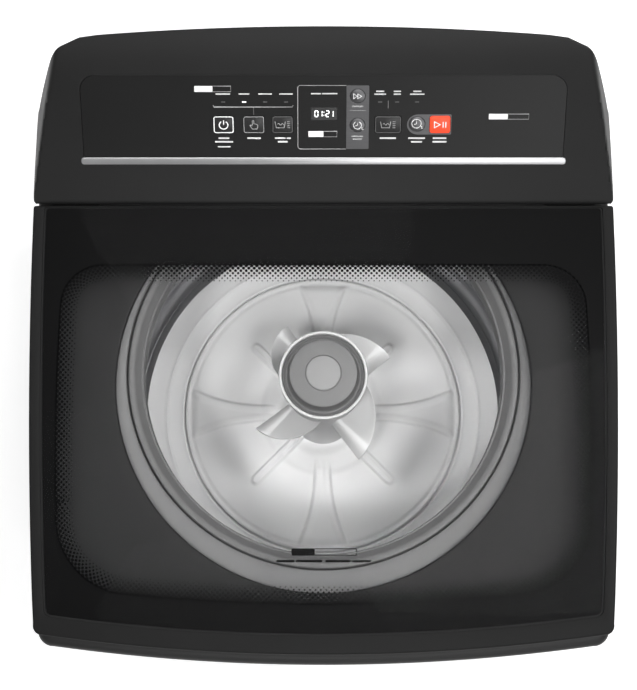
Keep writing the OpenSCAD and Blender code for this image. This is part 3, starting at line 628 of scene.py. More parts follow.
def make_light():
    world = bpy.data.worlds.new("studio")
    world.use_nodes = True
    background = world.node_tree.nodes["Background"]
    background.inputs["Color"].default_value = (1, 1, 1, 1)
    background.inputs["Strength"].default_value = 0.24
    bpy.context.scene.world = world
    # Soft boxes round the camera's mirror image in the glass, so the pane stays dark
    target = (0, -0.05, 0.8)
    area_light("box_front", (0.3, -1.42, 4.4), target, (2.2, 1.5), 30)
    area_light("box_right", (1.75, -0.1, 4.4), target, (1.5, 2.2), 72)
    area_light("box_left", (-1.75, -0.1, 4.4), target, (1.5, 2.2), 8)
    area_light("box_rear", (0.1, 1.9, 4.4), target, (2.2, 1.4), 28)
    area_light("box_low_right", (0.9, -2.4, 2.3), (0.1, 0.2, 1.0), (1.2, 1.0), 8)
    basket_light("into_basket_left", (-0.5, -0.85, 4.4), 560)
    basket_light("into_basket_right", (0.5, -0.85, 4.4), 380)
    basket_light("into_basket_side_left", (-1.05, 0.2, 4.4), 380)
    basket_light("into_basket_side_right", (1.05, 0.2, 4.4), 250)
    bpy.context.scene.view_settings.view_transform = "Standard"


def make_floor():
    floor = Shell()
    block(floor, (-16000, -16000, -20), (16000, 16000, 0))
    mat = material("floor_white", (0.9, 0.9, 0.9), 0.9)
    lit(mat, 0.6)
    mesh = bpy.data.meshes.new("floor")
    mesh.from_pydata([Vector(v) * MM for v in floor.verts], [], floor.faces)
    obj = bpy.data.objects.new("floor", mesh)
    obj.data.materials.append(mat)
    bpy.context.scene.collection.objects.link(obj)


make_camera()
make_light()
make_floor()

# ---------- lid ----------


def lid_ring(front, rear, inset, r, rr, z):
    """One ring of the lid frame; its skirt is cut away behind the hinge line."""
    raised = HINGE_Z - 3
    line = plan(front, rear, inset, r, rr, split=HINGE_Y - 4)
    return [(x, y, max(z, raised) if y > HINGE_Y - 3.9 else z) for x, y in line]


def lid_frame():
    seat = 12.6
    seat_front = LID_FRONT + 21.1
    hollow = LID_TOP - 7
    rings = []
    for z in (LID_BASE, mix(LID_BASE, LID_TOP, 0.5)):
        rings.append(lid_ring(LID_FRONT, LID_END, 0, 10, 3, z))
    for i, z in rolled(2.6, LID_TOP):
        rear_in = min(i, 1.2)
        rings.append(lid_ring(LID_FRONT + i, LID_END - rear_in, i, 10 - i, 3 - rear_in, z))
    for i, z in ((0.7, LID_TOP), (0.2, LID_TOP - 0.15), (0, LID_TOP - 0.6), (0, GLASS_LOW)):
        rings.append(lid_ring(seat_front - i, LID_END - 2.2 + i, seat - i, 9 + i, 3 + i, z))
    window = (-295, 100, seat + 12, 22, 22)
    lip = (-297, 102, seat + 10, 24, 24)
    skirt = (LID_FRONT + 3, LID_END - 2, 3, 7, 1)
    foot = LID_BASE + 2
    for line, z0, z1 in ((window, GLASS_LOW, foot), (lip, foot, hollow), (skirt, hollow, LID_BASE)):
        rings += [lid_ring(*line, z0), lid_ring(*line, z1)]
    shell = Shell()
    shell.loft(rings, wrap=True)
    # Stiffening ribs inside the skirt
    for i in range(-5, 6):
        x = 50 * i
        y = arch_y(x, LID_FRONT + 2.5)
        block(shell, (x - 1, y, LID_BASE + 5), (x + 1, y + 38, hollow + 0.5))
    for s in (-1, 1):
        for i in range(9):
            y = -270 + 42 * i
            x = side_x(y, 2.5)
            x0, x1 = sorted((s * x, s * (x - 20)))
            block(shell, (x0, y - 1, LID_BASE + 5), (x1, y + 1, hollow + 0.5))
    # Ears that turn on the hinge pins, and the tongue of the lid lock
    for s in (-1, 1):
        ear = arc(HINGE_Y, HINGE_Z, 7.5, 180, 360, 16)
        ear += [(HINGE_Y + 7.5, hollow + 0.5), (HINGE_Y - 7.5, hollow + 0.5)]
        shell.prism(ear, s * 305 - 4, s * 305 + 4, side_view)
    block(shell, (-6, -334, LID_BASE - 8), (6, -331, hollow + 0.5))
    return shell.piece("lid_surround", "lid", "frame_plastic", ["lid_frame"])


def lid_glass():
    inset, front, rear = 14.3, LID_FRONT + 22.8, LID_END - 2.9
    shell = Shell()
    rings = []
    edge = [(0.5, GLASS_LOW), (0, GLASS_LOW + 0.5), (0, GLASS_TOP - 0.5)]
    edge += [(0.15, GLASS_TOP - 0.15), (0.5, GLASS_TOP)]
    for i, z in edge:
        line = plan(front + i, rear - i, inset + i, 8.2 - i, 3.5 - i)
        rings.append([(x, y, z) for x, y in line])
    shell.loft(rings)
    shell.piece("lid_glass_pane", "lid", "tinted_glass", ["lid_glass"])
    # Black seal in the joint between pane and frame
    seal = Shell()
    outer = plan(front - 1.6, rear + 0.6, inset - 1.6, 9.8, 4.1)
    inner = plan(front + 0.05, rear - 0.05, inset + 0.05, 8.15, 3.45)
    seal.frame(outer, inner, GLASS_LOW + 0.1, GLASS_TOP - 1.8)
    seal.piece("glass_seal", "lid", "black_rubber", finish=GROOVE_BLACK)


PRINT_Z = GLASS_LOW + 0.3


def print_window(inset):
    """Clear middle of the glass, moved inward by an inset."""
    r = max(86 - inset, 4)
    rr = max(46 - inset, 3)
    return plan(-283 + inset, 94.8 - inset, HALF_W - 297.5 + inset, r, rr, mid=-81, bow=2950)


def lid_print():
    """Black border fired on the glass, fading inward in rows of dots."""
    outer = plan(LID_FRONT + 23.3, LID_END - 3.4, 14.8, 7.7, 3)
    window = print_window(0)
    border = Shell()
    border.frame(outer, window, PRINT_Z, PRINT_Z + 0.2)
    pitch, row_gap = 6.0, 2.9
    round_it = sum(math.dist(p, q) for p, q in zip(window, window[1:] + window[:1]))
    count = round(round_it / pitch)
    for row in range(7):
        size = 2.2 - 0.24 * row
        spots = resample(window, count, 0.5 * (row % 2))
        for i, (x, y) in enumerate(spots):
            before, after = spots[i - 1], spots[(i + 1) % count]
            inward = Vector((before[1] - after[1], after[0] - before[0])).normalized() * (row_gap * row)
            border.prism(arc(x + inward.x, y + inward.y, size, 0, 315, 7), PRINT_Z, PRINT_Z + 0.2)
    border.piece("glass_border_print", "lid", "tinted_glass", finish=PRINT_BLACK)
    # Plain mark by the front of the window: a filled and an open bar over a broken line
    mark = Shell()
    mark.prism(round_rect(-23, -227, 25, 8, 0.8), PRINT_Z, PRINT_Z + 0.2)
    mark.frame(round_rect(13, -227, 47.5, 8, 0.8), round_rect(13, -227, 45.5, 6, 0.4), PRINT_Z, PRINT_Z + 0.2)
    for x, length in ((-42, 20), (-16, 29), (16, 28), (42, 21)):
        mark.prism(round_rect(x, -237, length, 2.6, 1), PRINT_Z, PRINT_Z + 0.2)
    mark.piece("glass_mark", "lid", "tinted_glass", finish=PRINT_BLACK)


lid_frame()
lid_glass()
lid_print()

# ---------- deck ----------


def deck_floor(x, y):
    """Height of the dished floor, rising gently away from the opening."""
    away = math.hypot(x, y - OPENING_Y) - OPENING_R
    return 894.6 + 5.6 * ramp(0, 190, away)


def deck():
    centre = (0, OPENING_Y)
    edge = 9
    rim = plan(FRONT, REAR, 1, 18, 14)
    spots = plan(RECESS_FRONT, RECESS_REAR, 18, 20, 5) + rim + circle(100, 96, OPENING_Y)
    corner = math.sqrt(OPENING_R ** 2 - OPENING_FLAT ** 2)
    spots += [(corner, OPENING_Y + OPENING_FLAT), (-corner, OPENING_Y + OPENING_FLAT)]
    angles = sorted({round(math.atan2(y - OPENING_Y, x), 5) for x, y in spots})

    def at(outline, z):
        return [(x, y, z) for x, y in ray_ring(outline, centre, angles)]

    def opening(grow, drop):
        ring = []
        for a in angles:
            r = OPENING_R + grow
            if math.sin(a) * r > OPENING_FLAT + grow:
                r = (OPENING_FLAT + grow) / math.sin(a)
            x, y = r * math.cos(a), OPENING_Y + r * math.sin(a)
            ring.append((x, y, deck_floor(x, y) + drop))
        return ring

    def recess_ring(i, drop, level=None):
        line = plan(RECESS_FRONT + i, RECESS_REAR - i, 18 + i, max(20 - i, 6), max(5 - i, 1))
        ring = ray_ring(line, centre, angles)
        return [(x, y, level if level is not None else deck_floor(x, y) + drop) for x, y in ring]

    rings = [at(rim, CABINET_TOP), at(rim, DECK_TOP - edge)]
    for i, z in rolled(edge, DECK_TOP, 15):
        rings.append(at(plan(FRONT + i, REAR - i, 1 + i, 18 - i, 14 - i), z))
    for i, z in ((-1.6, DECK_TOP), (-0.8, DECK_TOP - 0.2), (-0.2, DECK_TOP - 0.8), (0, DECK_TOP - 1.6)):
        rings.append(recess_ring(i, 0, z))
    for i, drop in ((0.3, 4.4), (1, 2.3), (2.2, 0.9), (3.6, 0.2), (5, 0)):
        rings.append(recess_ring(i, drop))
    roll = 3
    inner_edge, floor_edge = opening(roll, 0), rings[-1]
    for t in (0.25, 0.5, 0.75):
        ring = []
        for p, q in zip(floor_edge, inner_edge):
            x, y = mix(p[0], q[0], t), mix(p[1], q[1], t)
            ring.append((x, y, deck_floor(x, y)))
        rings.append(ring)
    rings.append(inner_edge)
    for a in range(20, 91, 14):
        turn = math.radians(a)
        rings.append(opening(roll - roll * math.sin(turn), -roll * (1 - math.cos(turn))))
    low_edge = 889
    for grow in (0, 2.4):
        rings.append([(x, y, low_edge) for x, y, z in opening(grow, 0)])
    # Underside, a wall's thickness below the floor
    rings += [opening(2.6, -4), opening(3.8, -2.8)]
    rings += [recess_ring(4.6, -2.6), recess_ring(0.5, -2.2), recess_ring(-2.6, 1)]
    rings.append(recess_ring(-2.6, 0, DECK_TOP - 3))
    foot = plan(FRONT + 3, REAR - 3, 4, 15, 11)
    rings += [at(foot, DECK_TOP - 4), at(foot, CABINET_TOP)]
    shell = Shell()
    shell.loft(rings, wrap=True)
    body = shell.piece("deck_moulding", "cabinet", "deck_plastic", ["top_deck"])
    cut = Shell()
    block(cut, (-191, 94, 880), (-29, 142.5, 909.2))
    block(cut, (-9, -336.5, 900), (9, -328.5, 916))
    carve(body, cut)


def deck_fittings():
    """Hinge towers, covers over the hinge wells and soft stops under the lid."""
    towers = Shell()
    for s in (-1, 1):
        profile = arc(HINGE_Y, HINGE_Z, 6, 0, 180, 12)
        profile += [(HINGE_Y - 6, 916), (HINGE_Y - 8.5, DECK_TOP - 0.5)]
        profile += [(HINGE_Y + 8.5, DECK_TOP - 0.5), (HINGE_Y + 6, 916)]
        towers.prism(profile, s * 283 - 12, s * 283 + 12, side_view)
    towers.piece("hinge_towers", "cabinet", "deck_plastic", bevel=0.5)
    covers = Shell()
    for s in (-1, 1):
        covers.prism(round_rect(s * 282.5, 169.3, 55, 3.6, 1.4, 4), DECK_TOP - 0.3, DECK_TOP + 9)
    covers.piece("hinge_covers", "cabinet", "deck_plastic", finish=MATERIALS["frame_plastic"], bevel=0.4)
    stops = Shell()
    for s in (-1, 1):
        for y in (-292, 110):
            out = s * side_x(y, 10.5)
            profile = [
                (0.3, DECK_TOP - 0.4), (5, DECK_TOP - 0.4), (5, DECK_TOP + 1.2),
                (4.2, DECK_TOP + 1.8), (0.3, DECK_TOP + 1.8),
            ]
            stops.revolve(profile, 24, lambda x, v, z, out=out, y=y: (x + out, v + y, z))
    stops.piece("lid_stops", "cabinet", "black_rubber")


deck()
deck_fittings()

# ---------- console ----------


def slope_height(y):
    """Height of the console's front and top at depth y."""
    if y <= FACE_Y:
        return FACE_Z - (FACE_Y - y) * 28 / 35.5
    rise = FACE_Z + (y - FACE_Y) * math.tan(FACE_TILT)
    beyond = max(y - 286, 0)
    return rise - 0.0062 * beyond ** 2


def side_height(x):
    """Height at which the leaning side meets the width x."""
    return 945 + (328 - abs(x)) / 0.2575


def soft_min(a, b, k):
    h = max(k - abs(a - b), 0) / k
    return min(a, b) - h * h * k / 4


def console_rear(x, t):
    """Depth of the rear wall at width x, with its round corner."""
    r = 70 - t
    rear = REAR + 1.5 - t - x * x / (2 * CONSOLE_ARCH_R)
    cx = side_x(REAR - 50, 1.5 + t, -BOW_MID + 80) - r
    past = max(abs(x) - cx, 0)
    drop = r - math.sqrt(max(r * r - past * past, 0))
    return rear - drop


def console_surface(t):
    """Front, top and back of the console as a grid of columns, moved inward by t."""
    lift = t / math.cos(FACE_TILT)
    half = 326.4 - t
    fine = [mix(290, half, i / 26) for i in range(27)]
    xs = [-x for x in reversed(fine)] + [mix(-290, 290, i / 28) for i in range(1, 28)] + fine
    nose = NOSE_Y + t
    fixed = [nose + d for d in (0, 0.3, 0.9, 1.8, 3, 6, 12, 20)] + [FACE_Y, 215, 230, 245, 260, 270]
    grid = []
    for x in xs:
        corner = max(abs(x) - (half - 2), 0)
        start = 2 - math.sqrt(max(4 - corner * corner, 0))
        rear = console_rear(x * 0.985, t)
        depths = [max(y, nose + start + 0.02 * k) for k, y in enumerate(fixed)]
        steps = (0.15, 0.35, 0.55, 0.72, 0.85, 0.93, 0.965, 0.98, 0.99, 0.997, 1)
        depths += [mix(270, rear, p) for p in steps]
        column = []
        for y in depths:
            z = soft_min(slope_height(y), side_height(abs(x) + t), mix(5, 22, ramp(235, 300, y))) - lift
            front_gap = max(2.5 - (y - nose - start), 0)
            rear_gap = max(2 - (rear - y), 0)
            z -= 2.5 - math.sqrt(max(6.25 - front_gap ** 2, 0))
            z -= 2 - math.sqrt(max(4 - rear_gap ** 2, 0))
            reach = side_x(y, 1.5 + t) / (HALF_W - 1.5 - t) * (half + 1.6) / half
            column.append((x * reach, y, z))
        grid.append(column)
    return grid


def console_solid(wall):
    """Console moulding: an outer skin and an inner one a wall inside it, joined round the foot."""
    verts, faces, feet = [], [], []
    for t in (0, wall):
        grid = console_surface(t)
        cols, rows = len(grid), len(grid[0])
        start = len(verts)
        verts += [p for column in grid for p in column]
        for i in range(cols - 1):
            for j in range(rows - 1):
                a = start + i * rows + j
                faces.append([a, a + 1, a + rows + 1, a + rows])
        rim = [i * rows for i in range(cols)]
        rim += [(cols - 1) * rows + j for j in range(1, rows)]
        rim += [i * rows + rows - 1 for i in range(cols - 2, -1, -1)]
        rim += range(rows - 2, 0, -1)
        above = [start + i for i in rim]
        first = above
        for z, back in ((941, 0), (938, 6.5), (DECK_TOP, 6.5)):
            base = len(verts)
            for i in first:
                x, y = verts[i][:2]
                verts.append((x, y + back * max(1 - (y - NOSE_Y - t) / 25, 0), z))
            ring = list(range(base, base + len(first)))
            faces += [[above[i], above[i - 1], ring[i - 1], ring[i]] for i in range(len(ring))]
            above = ring
        feet.append(above)
    outer, inner = feet
    faces += [[outer[i], outer[i - 1], inner[i - 1], inner[i]] for i in range(len(outer))]
    shell = Shell()
    shell.add(verts, faces)
    return shell


PANEL_LOW, PANEL_HIGH = 10.2, 109.2
PANEL_W = 533
SQUARE_KEYS = {"power_button": (-110.4, 50.5, 22.6, 20.5), "cycle_button": (-77, 50.5, 23.4, 20.5),
               "level_button": (-45.2, 50.5, 23, 20.5), "options_button": (71.2, 50.5, 29, 20.5),
               "start_button": (128.6, 50.5, 22.7, 20.5)}
ROUND_KEYS = {"forward_button": (37.4, 84.6, 8.2), "reduce_button": (37.4, 49.9, 8.2),
              "delay_button": (103.2, 51.1, 8.8)}
KEY_GAP = 0.35
KEY_TOP = 0.6


def panel_outline(grow=0.0):
    """Upper corners round, lower edge square on the bright strip."""
    w, r = PANEL_W / 2 + grow, 18
    top, bottom = PANEL_HIGH + grow, PANEL_LOW - grow
    upper = arc(w - r, top - r, r, 0, 90, 10) + arc(-w + r, top - r, r, 90, 180, 10)
    return [(-w, bottom), (w, bottom)] + upper


def console():
    shell = console_solid(3)
    body = shell.piece("console_shell", "cabinet", "console_plastic", ["console_housing"])
    cut = Shell()
    block(cut, (-288, 290, DECK_TOP - 5), (288, 345, DECK_TOP + 107))
    carve(body, cut)
    punch(body, panel_outline(0.5), -5, 6)
    punch(body, round_rect(0, 6, 540.8, 9.2, 3.4), -5, 6)


def round_hole(name):
    """Clearance hole for a round key."""
    x, v, r = ROUND_KEYS[name]
    return arc(x, v, r + KEY_GAP, 0, 352.5, 47)


def panel():
    shell = Shell()
    shell.prism(panel_outline(), -3, -0.1, on_face)
    plate = shell.piece("control_fascia", "cabinet", "panel_gloss", ["control_panel"])
    for x, v, w, h in SQUARE_KEYS.values():
        punch(plate, round_rect(x, v, w + 2 * KEY_GAP, h + 2 * KEY_GAP, 3 + KEY_GAP), -6, 6)
    for name in ROUND_KEYS:
        punch(plate, round_hole(name), -6, 6)
    punch(plate, round_rect(0.6, 63.4, 28.6, 15, 0.4), -6, 6)
    soften(plate, 0.25, 2)
    back = Shell()
    back.prism(round_rect(0, 59, 536, 100, 6), -4.6, -3.2, on_face)
    back.piece("fascia_backing", "cabinet", "panel_gloss", finish=GROOVE_BLACK)
    strip = Shell()
    rings = []
    for i, w in ((0, -3), (0, 0.05), (0.2, 0.28), (0.6, 0.4)):
        rings.append([on_face(x, v, w) for x, v in round_rect(0, 6, 540 - 2 * i, 8.4 - 2 * i, 3 - i)])
    strip.loft(rings)
    strip.piece("bright_strip", "cabinet", "bright_trim", ["chrome_trim"])
    lens = Shell()
    lens.prism(round_rect(0.6, 63.4, 28.4, 14.8, 0.4), -3, -0.25, on_face)
    lens.piece("display_lens_plate", "cabinet", "display_lens", ["display_window"])


console()
panel()

# ---------- keys and their printing ----------

INK = 0.06


def key_cap(name, outline_at, slot):
    """Button with a rounded top edge and a shoulder behind the fascia."""
    shell = Shell()
    edge = [(-1.5, -6), (-1.5, -3.5), (0, -3.45), (0, KEY_TOP - 0.5), (0.15, KEY_TOP - 0.15), (0.5, KEY_TOP)]
    shell.loft([[on_face(x, v, w) for x, v in outline_at(i)] for i, w in edge])
    shell.piece(name + "_cap", name, slot, [name])


def ink(name, body, finish, draw, slot="white_plastic", level=KEY_TOP):
    """Printing raised a hair over a surface: draw gets a pen and fills the shell."""
    shell = Shell()
    lo, hi = level - 0.02, level + INK

    def pen(line, width, closed=False):
        shell.stroke(line, width, lo, hi, on_face, closed)

    def fill(outline):
        shell.prism(outline, lo, hi, on_face)

    draw(pen, fill)
    shell.piece(name, body, slot, finish=finish)


def power_icon(x, v):
    def draw(pen, fill):
        pen(arc(x, v - 0.4, 4.8, 122, 418, 28), 1.1)
        pen([(x, v - 0.2), (x, v + 5.4)], 1.1)
    return draw


def cycle_icon(x, v):
    """A pointing hand, drawn in one line."""
    line = [(-1.6, -0.4), (-1.6, 4.6), (-0.8, 5.4), (0.0, 4.6), (0.0, 1.2), (1.5, 1.0), (3.0, 0.5),
            (4.2, -0.4), (4.3, -2.6), (3.4, -5.2), (-1.6, -5.2), (-3.6, -2.2), (-4.2, -0.6),
            (-3.2, -0.2), (-1.6, -1.6)]

    def draw(pen, fill):
        pen([(x + a, v + b) for a, b in line], 0.75)
    return draw


def tub_icon(x, v):
    """A tub with a wave, beside a column of level marks."""
    def draw(pen, fill):
        pen([(x - 8.4, v + 3.8), (x - 7, v - 3.6), (x + 1.6, v - 3.6), (x + 3, v + 3.8)], 0.75)
        pen([(x - 5.6 + 0.7 * i, v + 0.6 + 1.1 * math.sin(i * 1.05)) for i in range(11)], 0.6)
        for k in range(4):
            pen([(x + 5, v - 3.6 + 2.4 * k), (x + 8.2, v - 3.6 + 2.4 * k)], 0.6)
    return draw


def start_icon(x, v):
    def draw(pen, fill):
        pen([(x - 6.2, v - 3.6), (x - 6.2, v + 3.6), (x + 0.2, v)], 0.95, True)
        for dx in (3.4, 6.4):
            pen([(x + dx, v - 3.4), (x + dx, v + 3.4)], 0.95)
    return draw


def forward_icon(x, v):
    def draw(pen, fill):
        for dx in (-4.4, 0.2):
            pen([(x + dx, v - 3), (x + dx, v + 3), (x + dx + 4, v)], 0.7, True)
    return draw


def clock_icon(x, v, r=4.6, gap=0):
    def draw(pen, fill):
        pen(arc(x, v, r, 90 + gap, 450 - gap, 30), 0.7, gap == 0)
        pen([(x, v + 0.62 * r), (x, v), (x - 0.5 * r, v - 0.2 * r)], 0.6)
        pen([(x + r + 0.6, v - r + 2.2), (x + r + 0.6, v - r - 0.6), (x + r + 2.2, v - r - 0.6)], 0.6)
    return draw


def keys():
    icons = {"power_button": power_icon, "cycle_button": cycle_icon, "level_button": tub_icon,
             "options_button": tub_icon, "start_button": start_icon}
    for name, (x, v, w, h) in SQUARE_KEYS.items():
        orange = name == "start_button"
        slot = "key_orange" if orange else "key_black"
        key_cap(name, lambda i: round_rect(x, v, w - 2 * i, h - 2 * i, max(3 - i, 1)), slot)
        finish = PRINT_WHITE if name in ("power_button", "start_button") else PRINT_GREY
        ink(name + "_icon", name, finish, icons[name](x, v))
        if not orange:
            width = 1.0 if name == "power_button" else 0.7
            line = PRINT_WHITE if name == "power_button" else PRINT_GREY
            if name in ("options_button", "level_button"):
                line = PRINT_DIM
            ink(name + "_outline", name, line,
                lambda pen, fill: pen(round_rect(x, v, w - 1.6, h - 1.6, 2.2), width, True))
    for name, (x, v, r) in ROUND_KEYS.items():
        key_cap(name, lambda i: arc(x, v, r - i, 0, 354, 59), "key_grey")
        icon = {"forward_button": forward_icon(x, v), "reduce_button": clock_icon(x, v, 4.4, 30),
                "delay_button": clock_icon(x - 0.6, v + 0.8, 5.2)}[name]
        ink(name + "_icon", name, PRINT_WHITE, icon)


SEGMENTS = {"0": "abcdef", "1": "bc", "2": "abged"}


def digit(pen, text, x, v, w=3.4, h=7):
    half = h / 2
    ends = {"a": ((0, h), (w, h)), "b": ((w, h), (w, half)), "c": ((w, half), (w, 0)),
            "d": ((0, 0), (w, 0)), "e": ((0, half), (0, 0)), "f": ((0, h), (0, half)),
            "g": ((0, half), (w, half))}
    for key in SEGMENTS[text]:
        (x0, v0), (x1, v1) = ends[key]
        dx, dv = (x1 - x0) * 0.12, (v1 - v0) * 0.12
        pen([(x + x0 + dx, v + v0 + dv), (x + x1 - dx, v + v1 - dv)], 0.95)


def panel_print():
    ground = -0.1

    def clock(pen, fill):
        for text, x in (("0", -9.6), ("1", -5.0), ("2", 2.6), ("1", 7.2)):
            digit(pen, text, x, 59.9)
        for v in (61.6, 65.2):
            fill(round_rect(0.4, v, 1, 1, 0.3, 2))

    ink("clock_digits", "cabinet", LIT_WHITE, clock, "display_lens", -0.25)

    def lamps(pen, fill):
        fill(round_rect(-87.3, 77.5, 4.6, 1.5, 0.7))
        fill(round_rect(26.8, 58, 1.6, 1.6, 0.8))

    ink("lit_lamps", "cabinet", LIT_WHITE, lamps, "display_lens", ground)

    def dark_lamps(pen, fill):
        for x in (-110.3, -64.2, -41.2, 62, 80.7, 102.6):
            fill(round_rect(x, 77.5, 4.6, 1.3, 0.6))

    ink("dark_lamps", "cabinet", PRINT_DIM, dark_lamps, "display_lens", ground)

    def labels(pen, fill):
        for x, v, w, h in ((-131.6, 93, 20, 7), (192.6, 60, 21, 6.6), (-8.4, 39, 16.6, 7)):
            fill(round_rect(x, v, w, h, 0.6))

    ink("panel_labels", "cabinet", PRINT_WHITE, labels, "white_plastic", ground)

    def words(fill, x, v, lengths, height=1.5):
        """A caption stood in for by plain bars, one for each word."""
        gap = 1.1
        left = x - (sum(lengths) + gap * (len(lengths) - 1)) / 2
        for length in lengths:
            fill(round_rect(left + length / 2, v, length, height, 0.5, 3))
            left += length + gap

    def small_text(pen, fill):
        for x, length in ((-110.4, 16), (-87.3, 12), (-64.2, 15), (-41.2, 15)):
            words(fill, x, 87, [length])
        words(fill, 0.6, 87.4, [11, 17])
        for x, upper, lower_line in ((62, 9, 13), (80.7, 8, 8), (102.6, 9, 16)):
            words(fill, x, 90.2, [upper])
            words(fill, x, 86.8, [lower_line])
        under_keys = {-110.4: ([12], [20]), -77: ([15],), -45.2: ([12, 4.6], [11]), 71.2: ([18],),
                      103.2: ([18.5], [12]), 128.6: ([15], [15.5])}
        for x, lines in under_keys.items():
            for k, lengths in enumerate(lines):
                words(fill, x, 34 - 4.4 * k, lengths, 1.9)
        words(fill, -110.4, 23.6, [14])

    ink("panel_captions", "cabinet", PRINT_PALE, small_text, "white_plastic", ground)

    def lines(pen, fill):
        pen([(-121.4, 73.8), (-120.6, 71.5), (-34.3, 71.5), (-33.5, 73.8)], 0.8)
        pen([(-77, 71.2), (-77, 62.2)], 0.3)
        pen([(-121.4, 89.7), (-101.6, 89.7), (-101.6, 96.3), (-121.4, 96.3)], 0.6)
        pen([(203.4, 56.9), (226.2, 56.9), (226.2, 63.1), (203.4, 63.1)], 0.6)
        pen([(0, 35.7), (14.8, 35.7), (14.8, 42.3), (0, 42.3)], 0.6)
        pen([(71, 70), (71, 79)], 0.4)

    ink("panel_lines", "cabinet", PRINT_GREY, lines, "white_plastic", ground)

    def timer_box(pen, fill):
        pen([(25, 97.1), (-26.4, 97.1), (-28.4, 95.1), (-28.4, 22.8), (-26.4, 20.8), (25, 20.8)], 0.7)

    ink("timer_outline", "cabinet", PRINT_GREY, timer_box, "white_plastic", ground)


def timer_strip():
    """Brushed strip behind the two timer keys, and the pill behind the start keys."""
    strip = Shell()
    strip.prism(round_rect(37.55, 58.95, 24.9, 76.3, 1.2), -0.3, 0.12, on_face)
    plate = strip.piece("timer_strip", "cabinet", "key_grey", finish=STRIP_METAL)
    for name in ("forward_button", "reduce_button"):
        punch(plate, round_hole(name), -2, 2)
    pill = Shell()
    outline = arc(104.2, 50.5, 12.1, 90, 270, 20)
    outline += arc(139.7, 39.9, 1.5, 270, 360, 4) + arc(139.7, 61.1, 1.5, 0, 90, 4)
    pill.prism(outline, -0.3, 0.12, on_face)
    backing = pill.piece("start_pill", "cabinet", "key_grey", finish=STRIP_METAL)
    punch(backing, round_hole("delay_button"), -2, 2)
    punch(backing, round_rect(128.6, 50.5, 23.4, 21.2, 3.3), -2, 2)
    soften(plate, 0.15, 2)
    soften(backing, 0.15, 2)
    ink("strip_divider", "cabinet", PRINT_GREY,
        lambda pen, fill: pen([(29, 67.5), (46.4, 67.5)], 0.5), "white_plastic", 0.12)

    def captions(pen, fill):
        for v, w in ((72.5, 13), (36.4, 13), (33, 10)):
            fill(round_rect(37.4, v, w, 1.7, 0.8))

    ink("strip_captions", "cabinet", PRINT_GREY, captions, "white_plastic", 0.12)


keys()
panel_print()
timer_strip()

# ---------- tub, basket and agitator ----------


def turned(profile, n=160, wrap=True):
    shell = Shell()
    shell.revolve(profile, n, wrap=wrap)
    return shell


def rings_at_top():
    profile = [
        (226, 865), (226, 873.5), (226.6, 875.6), (228.4, 876.8), (232, 877.6), (238, 879.2),
        (246, 880), (293, 880), (293, 856), (288, 856), (288, 872), (240, 871), (230, 865),
    ]
    turned(profile).piece("splash_ring", "tub", "ring_plastic", ["tub_ring"])
    profile = [
        (207, 834), (207, 860), (207.4, 861.3), (208.2, 861.8), (209, 861.5), (209.6, 861.2),
        (211, 862.6), (215.6, 870.6), (217, 872.3), (219, 873.2), (221.4, 873.6), (223.2, 873),
        (224.4, 871), (224.8, 866), (226, 864), (257, 864), (257, 834),
    ]
    turned(profile).piece("balance_ring_cover", "basket", "balance_plastic", ["balance_ring"])


